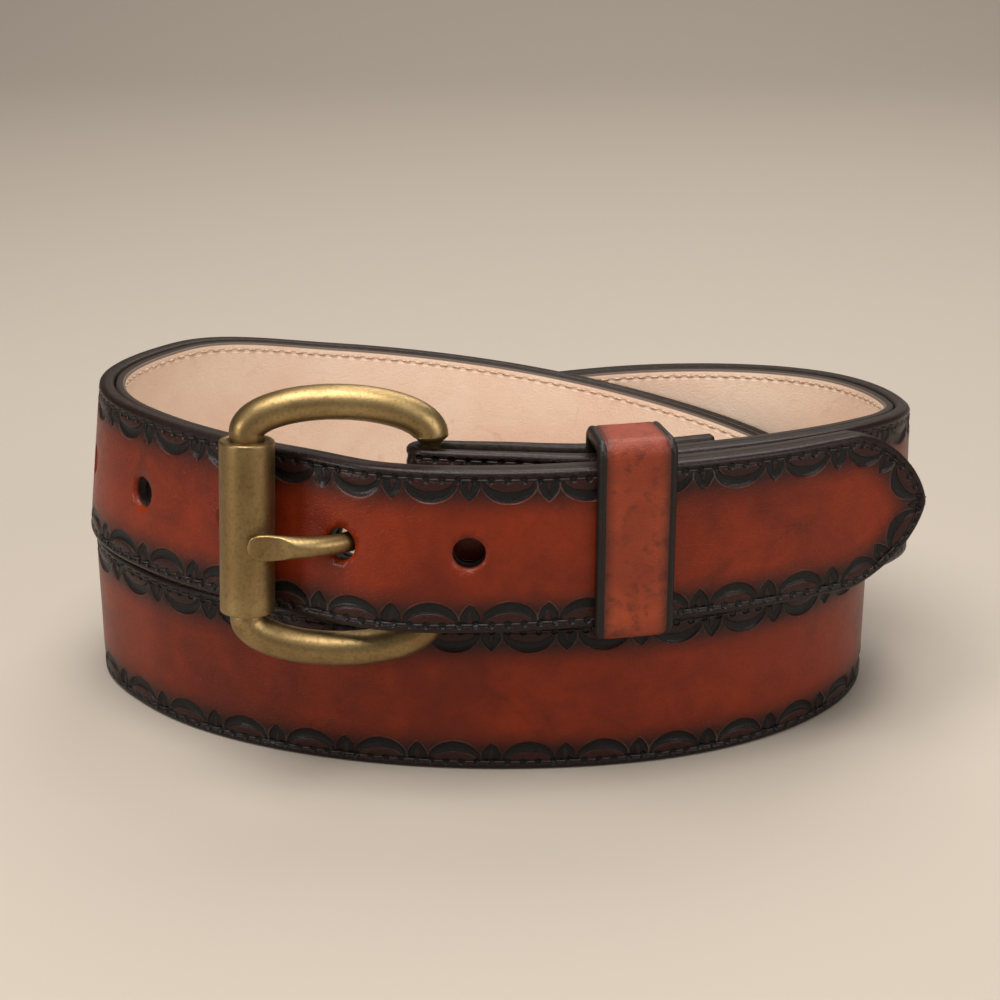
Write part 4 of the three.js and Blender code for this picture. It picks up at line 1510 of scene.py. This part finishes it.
@dataclass(frozen=True)
class TooledLeather:
    """Chestnut leather with a black-stained stamped border, burnished edges and a natural flesh side. The pale rims
    round the stamps are a painted highlight, and the dark stitch holes are painted shade.

    Colours are in linear light. A ramp's two numbers are where it is 0 and where it is 1: millimetres from the edge
    or from the border's base, shares of a stamped form's size, values of a noise, or zones. Heights are in
    millimetres.
    """

    field_light: tuple = (0.205, 0.0190, 0.0010)
    field_red: tuple = (0.100, 0.0082, 0.0006)
    field_dark: tuple = (0.028, 0.0030, 0.0006)
    stamp: tuple = (0.0022, 0.0025, 0.0028)
    moon: tuple = (0.0135, 0.0030, 0.0021)
    border: tuple = (0.0085, 0.0026, 0.0019)
    # rim: a painted highlight on the raised rims round the stamps.
    rim: tuple = (0.105, 0.072, 0.062)
    # hole: painted shade in the stitch holes along the seam.
    hole: tuple = (0.0008, 0.0006, 0.0006)
    edge: tuple = (0.0090, 0.0048, 0.0030)
    edge_light: tuple = (0.042, 0.025, 0.016)
    flesh: tuple = (0.20, 0.10, 0.045)

    fibres: Noise = Noise(900.0, 4.0, 0.7)
    streaks: Noise = Noise(260.0, 3.0, 0.6, 1.5)
    creases: Noise = Noise(420.0, 5.0, 0.65, 0.4)
    broad: Noise = Noise(26.0, 3.0, 0.55, 0.3)
    cloudy: Noise = Noise(95.0, 4.0, 0.6, 0.5)
    grain: Noise = Noise(700.0, 3.0, 0.6)
    stains: Noise = Noise(60.0, 4.0, 0.6, 0.8)
    rim_noise: Noise = Noise(180.0, 2.0)
    pore_scale: float = 1500.0
    pore_width: float = 0.12

    fibre_ramp: tuple = (0.35, 0.8)
    streak_ramp: tuple = (0.3, 0.7)
    to_edge: tuple = (0.15, 0.55)
    to_flesh: tuple = (1.8, 1.97)
    flesh_inward: tuple = (1.5, 4.5)
    off_grain: tuple = (0.4, 0.15)
    to_light: tuple = (0.38, 0.75)
    stain_ramp: tuple = (0.58, 0.82)
    grain_ramp: tuple = (0.5, 0.8)
    shade_inward: tuple = (9.6, 5.8)

    above_ramp: tuple = (-0.35, 0.1)
    crescent_ramp: tuple = (0.0, 0.035)
    moon_ramp: tuple = (0.03, -0.03)
    arch_ramp: tuple = (0.0, 0.12)
    ridge_ramp: tuple = (0.66, 0.76)
    ridge_rise: tuple = (3.3, 2.7)
    strip_rise: tuple = (0.5, -0.1)
    border_rise: tuple = (5.4, 2.4)
    arch_side: tuple = (3.0, 2.2)
    rim_ramp: tuple = (0.4, 0.7)
    hole_ramp: tuple = (0.85, 0.5)
    seam_ramp: tuple = (0.6, 0.2)
    crescent_rim: tuple = (-0.045, 0.028)
    moon_rim: tuple = (0.05, 0.03)
    arch_rim: tuple = (-0.1, 0.07)
    periods_before: int = 200

    stamp_height: float = -0.22
    rim_height: float = 0.08
    hole_height: float = -0.35
    groove_height: float = -0.06
    pore_height: float = 0.03
    crease_height: float = 0.05
    fibre_height: float = 0.05
    roughness: float = 0.3
    crease_roughness: float = 0.16
    stamp_roughness: float = 0.08
    cut_roughness: float = 0.2

    def material(self) -> bpy.types.Material:
        """The finished material."""
        shader = Shader("tooled_leather")
        run, inward, zone = shader.place()
        colour, height, stamped = self._border(shader, run, inward, self._field(shader, inward))
        fibres = shader.noise(self.fibres)
        streaks = shader.noise(self.streaks)
        edge = shader.mix(fibres.ramp(*self.fibre_ramp) * 0.6, self.edge, self.edge_light)
        flesh = shader.mix(streaks.ramp(*self.streak_ramp) * 0.35, self.flesh, self.edge_light)
        on_flesh, deep = zone.ramp(*self.to_flesh), inward.ramp(*self.flesh_inward)
        colour = shader.mix(zone.ramp(*self.to_edge), colour, edge)
        colour = shader.mix(on_flesh * deep, colour, flesh)
        colour = shader.mix(on_flesh * (1.0 - deep), colour, edge)
        on_grain = zone.ramp(*self.off_grain)
        on_cut = 1.0 - on_grain
        creases = shader.noise(self.creases)
        pores = shader.pores(self.pore_scale, self.pore_width)
        fine = (pores - 1.0) * self.pore_height + creases * self.crease_height + fibres * self.fibre_height * on_cut
        shader.bump(height * on_grain + fine)
        rough = self.roughness + creases * self.crease_roughness
        rough = rough + stamped * self.stamp_roughness + on_cut * self.cut_roughness
        return shader.surface(colour, rough, Coat_Weight=0.08, Coat_Roughness=0.18, Specular_IOR_Level=0.22)

    def _field(self, shader: Shader, inward: Value) -> bpy.types.NodeSocket:
        """The mottled middle of the strap, darker towards the border."""
        cloudy = shader.noise(self.cloudy)
        light = (shader.noise(self.broad) * 0.6 + cloudy * 0.5).ramp(*self.to_light)
        colour = shader.mix(light, self.field_red, self.field_light)
        stains = shader.noise(self.stains).ramp(*self.stain_ramp)
        dark = stains * 0.55 + shader.noise(self.grain).ramp(*self.grain_ramp) * 0.2
        colour = shader.mix(dark.clipped(), colour, self.field_dark)
        near_border = inward.ramp(*self.shade_inward) * 0.62
        return shader.mix(near_border * (0.6 + cloudy * 0.6), colour, self.field_dark)

    def _border(
        self, shader: Shader, run: Value, inward: Value, field: bpy.types.NodeSocket
    ) -> tuple[bpy.types.NodeSocket, Value, Value]:
        """The stamped border over the field.

        Args:
            shader: the material in the making.
            run: length along the edge.
            inward: distance from the edge.
            field: the colour beneath.

        Returns:
            The colour, the height in millimetres, and how stamped each point is.
        """
        b = BORDER
        along = self._from_middle(run - b.phase, b.period)
        rise = inward - b.base
        outer = 1.0 - (along / b.crescent_half).length(rise / b.crescent_rise)
        moon = 1.0 - (along / b.moon_half).length(rise / b.moon_rise)
        beside = b.period / 2 - along
        arch = 1.0 - (rise / b.arch_rise).above(0.0) ** b.arch_power - beside / b.arch_half
        above = rise.ramp(*self.above_ramp)
        crescent = outer.ramp(*self.crescent_ramp) * moon.ramp(*self.moon_ramp) * above
        arched = arch.ramp(*self.arch_ramp) * above
        ridge = arch.ramp(*self.ridge_ramp) * rise.ramp(*self.ridge_rise)
        stamped = crescent.above(arched * (1.0 - 0.75 * ridge)).clipped()
        inside_moon = moon.ramp(*self.moon_ramp[::-1]) * above
        round_moon = outer.bell(*self.crescent_rim) + moon.bell(*self.moon_rim) * 0.6
        round_arch = arch.bell(*self.arch_rim) * beside.ramp(*self.arch_side)
        rim = ((round_moon + round_arch) * above).clipped()
        off_seam = abs(inward - b.seam)
        off_stitch = self._from_middle(run - b.stitch_pitch / 2, b.stitch_pitch)
        hole = off_stitch.length(off_seam).ramp(*self.hole_ramp)
        colour = shader.mix(inside_moon * 0.9, field, self.moon)
        colour = shader.mix(rise.ramp(*self.border_rise) * (1.0 - inside_moon) * 0.85, colour, self.border)
        colour = shader.mix(rise.ramp(*self.strip_rise) * 0.96, colour, self.border)
        colour = shader.mix(stamped * 0.97, colour, self.stamp)
        # Painted highlight: a pale grey-brown along the stamps' rims, patchy by a noise.
        colour = shader.mix(rim * shader.noise(self.rim_noise).ramp(*self.rim_ramp) * 0.5, colour, self.rim)
        # Painted shade: the stitch holes along the seam are coloured near black.
        colour = shader.mix(hole, colour, self.hole)
        groove = off_seam.ramp(*self.seam_ramp)
        height = stamped * self.stamp_height + rim * self.rim_height
        height = height + hole * self.hole_height + groove * self.groove_height
        return colour, height, stamped

    def _from_middle(self, length: Value, period: float) -> Value:
        """The distance to the nearest whole number of periods: |(x + half period) mod period - half period|."""
        shifted = length + (period / 2 + period * self.periods_before)
        return abs(shifted.math("MODULO", period) - period / 2)


@dataclass(frozen=True)
class NaturalLeather:
    """Undyed lining leather: pinkish tan with faint creases, pores and the seam's marks.

    Ramps are as in the tooled leather.
    """

    tan: tuple = (0.81, 0.63, 0.49)
    pink: tuple = (0.76, 0.53, 0.40)
    dark: tuple = (0.45, 0.23, 0.12)
    edge: tuple = (0.020, 0.010, 0.006)

    broad: Noise = Noise(24.0, 4.0, 0.6, 0.5)
    creases: Noise = Noise(110.0, 6.0, 0.7, 2.2)
    pore_scale: float = 1100.0
    pore_width: float = 0.1

    pink_ramp: tuple = (0.35, 0.7)
    crease_ramp: tuple = (0.55, 0.8)
    seam_ramp: tuple = (0.55, 0.15)
    edge_inward: tuple = (0.6, 0.25)
    to_edge: tuple = (1.95, 1.6)

    crease_height: float = 0.12
    pore_height: float = 0.03
    seam_height: float = -0.12
    roughness: float = 0.62
    crease_roughness: float = 0.2

    def material(self) -> bpy.types.Material:
        """The finished material."""
        shader = Shader("natural_leather")
        _, inward, zone = shader.place()
        creases = shader.noise(self.creases)
        seam = abs(inward - BORDER.seam).ramp(*self.seam_ramp)
        colour = shader.mix(shader.noise(self.broad).ramp(*self.pink_ramp), self.tan, self.pink)
        colour = shader.mix(creases.ramp(*self.crease_ramp) * 0.45, colour, self.dark)
        colour = shader.mix(seam * 0.18, colour, self.dark)
        colour = shader.mix(inward.ramp(*self.edge_inward) * 0.9, colour, self.edge)
        colour = shader.mix(zone.ramp(*self.to_edge), colour, self.edge)
        pores = shader.pores(self.pore_scale, self.pore_width)
        shader.bump(creases * self.crease_height + pores * self.pore_height + seam * self.seam_height)
        return shader.surface(colour, self.roughness + creases * self.crease_roughness, Specular_IOR_Level=0.35)


@dataclass(frozen=True)
class KeeperLeather:
    """The keeper's leather: lighter brown, mottled, with dark creased edges.

    Ramps are as in the tooled leather.
    """

    light: tuple = (0.32, 0.052, 0.014)
    red: tuple = (0.19, 0.025, 0.007)
    dark: tuple = (0.050, 0.008, 0.003)
    edge: tuple = (0.0075, 0.0040, 0.0028)

    broad: Noise = Noise(45.0, 3.0, 0.6, 0.4)
    mottle: Noise = Noise(330.0, 4.0, 0.65, 0.3)
    pore_scale: float = 1300.0
    pore_width: float = 0.12

    light_ramp: tuple = (0.35, 0.7)
    mottle_ramp: tuple = (0.48, 0.75)
    shade_inward: tuple = (3.6, 0.8)
    edge_inward: tuple = (1.5, 1.1)
    to_flesh: tuple = (1.2, 1.8)
    crease: tuple = (1.5, 0.22)

    pore_height: float = 0.03
    mottle_height: float = 0.07
    crease_height: float = -0.1
    roughness: float = 0.36
    mottle_roughness: float = 0.2

    def material(self) -> bpy.types.Material:
        """The finished material."""
        shader = Shader("keeper_leather")
        _, inward, zone = shader.place()
        mottle = shader.noise(self.mottle)
        colour = shader.mix(shader.noise(self.broad).ramp(*self.light_ramp), self.red, self.light)
        colour = shader.mix(mottle.ramp(*self.mottle_ramp) * 0.7, colour, self.dark)
        edge = inward.ramp(*self.shade_inward) * 0.75 + inward.ramp(*self.edge_inward)
        colour = shader.mix(edge.clipped(), colour, self.edge)
        colour = shader.mix(zone.ramp(*self.to_flesh), colour, self.edge)
        pores = shader.pores(self.pore_scale, self.pore_width)
        crease = inward.bell(*self.crease)
        shader.bump(pores * self.pore_height + mottle * self.mottle_height + crease * self.crease_height)
        rough = self.roughness + mottle * self.mottle_roughness
        return shader.surface(colour, rough, Coat_Weight=0.06, Coat_Roughness=0.3, Specular_IOR_Level=0.28)


@dataclass(frozen=True)
class AntiqueBrass:
    """Brushed antique brass: pale on the raised grain, brown in its fine pits and clouds."""

    pale: tuple = (0.36, 0.255, 0.115)
    brass: tuple = (0.235, 0.155, 0.065)
    brown: tuple = (0.10, 0.060, 0.025)

    broad: Noise = Noise(70.0, 3.0, 0.55, 0.3)
    speckle: Noise = Noise(1500.0, 3.0, 0.6)
    clouds: Noise = Noise(330.0, 4.0, 0.6)

    pale_ramp: tuple = (0.3, 0.75)
    cloud_ramp: tuple = (0.5, 0.8)
    speckle_ramp: tuple = (0.45, 0.7)

    speckle_height: float = 0.035
    cloud_height: float = 0.03
    roughness: float = 0.34
    speckle_roughness: float = 0.18

    def material(self) -> bpy.types.Material:
        """The finished material."""
        shader = Shader("antique_brass")
        speckle = shader.noise(self.speckle)
        clouds = shader.noise(self.clouds)
        colour = shader.mix(shader.noise(self.broad).ramp(*self.pale_ramp), self.brass, self.pale)
        worn = clouds.ramp(*self.cloud_ramp) * 0.3 + speckle.ramp(*self.speckle_ramp) * 0.35
        colour = shader.mix(worn.clipped(), colour, self.brown)
        shader.bump(speckle * self.speckle_height + clouds * self.cloud_height)
        return shader.surface(colour, self.roughness + speckle * self.speckle_roughness, Metallic=1.0)


@dataclass(frozen=True)
class Thread:
    """Waxed sewing thread: its colour, with painted shade between the twists."""

    name: str
    colour: tuple
    dark_share: float = 0.45
    twist: Noise = Noise(1800.0, 2.0, 0.6)
    twist_ramp: tuple = (0.35, 0.7)
    twist_height: float = 0.08
    roughness: float = 0.5

    def material(self) -> bpy.types.Material:
        """The finished material."""
        shader = Shader(self.name)
        twist = shader.noise(self.twist)
        # Painted shade: a twist noise darkens the thread to a share of its colour.
        dark = tuple(part * self.dark_share for part in self.colour)
        colour = shader.mix(twist.ramp(*self.twist_ramp), self.colour, dark)
        shader.bump(twist * self.twist_height)
        return shader.surface(colour, self.roughness)


FACE_THREAD = Thread("dark_thread", (0.009, 0.0045, 0.0035))
BACK_THREAD = Thread("brown_thread", (0.60, 0.41, 0.28))


class Lamp(NamedTuple):
    """A square soft light: where it is, what it faces and its side, in millimetres, and its power in watts."""

    name: str
    place: tuple[float, float, float]
    target: tuple[float, float, float]
    size: float
    power: float


class Studio:
    """The camera at the photograph's angle, a pale floor with a sweep behind, and soft light.

    Lengths are in millimetres.
    """

    camera_place = (0.0, -425.5, 204.4)
    camera_pitch = 21.3
    focal_share = 2.136
    sensor = 36.0
    near_clip = 10.0
    floor_front = -900.0
    floor_back = 700.0
    floor_half = 2600.0
    sweep_radius = 500.0
    sweep_points = 24
    wall_height = 1600.0
    floor_light = (0.385, 0.335, 0.283)
    floor_dark = (0.355, 0.305, 0.255)
    floor_mottle = Noise(3.0, 2.0)
    lamp_colour = (1.0, 0.975, 0.94)
    lamps = (
        Lamp("key", (-110.0, -210.0, 800.0), (0.0, 0.0, 30.0), 560.0, 9.0),
        Lamp("fill", (560.0, -460.0, 360.0), (0.0, 0.0, 40.0), 420.0, 2.4),
        Lamp("side", (-470.0, -330.0, 190.0), (-30.0, -50.0, 50.0), 130.0, 0.9),
        Lamp("back", (180.0, 480.0, 760.0), (0.0, 0.0, 40.0), 560.0, 4.5),
    )
    sky_colour = (1.0, 0.97, 0.93, 1.0)
    sky_strength = 0.18

    def build(self) -> None:
        """Makes the camera, the floor, the lamps and the sky, and shows colours as they are."""
        self._camera()
        self._floor()
        for lamp in self.lamps:
            self._lamp(lamp)
        self._sky()
        bpy.context.scene.view_settings.view_transform = "Standard"

    def _camera(self) -> None:
        """The camera: level with the horizon, pitched down."""
        data = bpy.data.cameras.new("camera")
        data.sensor_width = self.sensor
        data.lens = self.focal_share * self.sensor
        data.clip_start = self.near_clip * MM
        camera = bpy.data.objects.new("camera", data)
        camera.location = Vector(self.camera_place) * MM
        camera.rotation_euler = (math.radians(90.0 - self.camera_pitch), 0.0, 0.0)
        bpy.context.scene.collection.objects.link(camera)
        bpy.context.scene.camera = camera

    def _floor(self) -> None:
        """The floor: flat under the belt, and curving up far behind as a quarter circle into a wall."""
        angle = np.linspace(0.0, math.pi / 2, self.sweep_points)
        wall, radius = self.floor_back + self.sweep_radius, self.sweep_radius
        y = np.concatenate([[self.floor_front], self.floor_back + radius * np.sin(angle), [wall]])
        z = np.concatenate([[0.0], radius * (1.0 - np.cos(angle)), [radius + self.wall_height]])
        x = np.array([-self.floor_half, self.floor_half])
        points = np.stack(np.broadcast_arrays(x[None], y[:, None], z[:, None]), -1)
        faces = 2 * np.arange(len(y) - 1)[:, None] + np.array([0, 1, 3, 2])
        mesh = bpy.data.meshes.new("floor")
        mesh.from_pydata((points.reshape(-1, 3) * MM).tolist(), [], faces.tolist())
        mesh.polygons.foreach_set("use_smooth", np.full(len(mesh.polygons), True))
        floor = bpy.data.objects.new("floor", mesh)
        bpy.context.scene.collection.objects.link(floor)
        shader = Shader("backdrop")
        colour = shader.mix(shader.noise(self.floor_mottle) * 0.3, self.floor_light, self.floor_dark)
        mesh.materials.append(shader.surface(colour, 0.85))

    def _lamp(self, lamp: Lamp) -> None:
        """A lamp, turned to what it faces."""
        data = bpy.data.lights.new(lamp.name, "AREA")
        data.size = lamp.size * MM
        data.energy = lamp.power
        data.color = self.lamp_colour
        light = bpy.data.objects.new(lamp.name, data)
        light.location = Vector(lamp.place) * MM
        light.rotation_euler = (Vector(lamp.target) - Vector(lamp.place)).to_track_quat("-Z", "Y").to_euler()
        bpy.context.scene.collection.objects.link(light)

    def _sky(self) -> None:
        """A weak pale light from all round."""
        world = bpy.data.worlds.new("sky")
        world.use_nodes = True
        background = world.node_tree.nodes["Background"]
        background.inputs["Color"].default_value = self.sky_colour
        background.inputs["Strength"].default_value = self.sky_strength
        bpy.context.scene.world = world


def main() -> None:
    """Builds the belt and its studio."""
    logging.basicConfig(level=logging.INFO, format="%(name)s: %(message)s")
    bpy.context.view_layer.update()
    Studio().build()
    Strap().build()
    Keeper().build()
    Buckle().build()


if __name__ == "__main__":
    main()
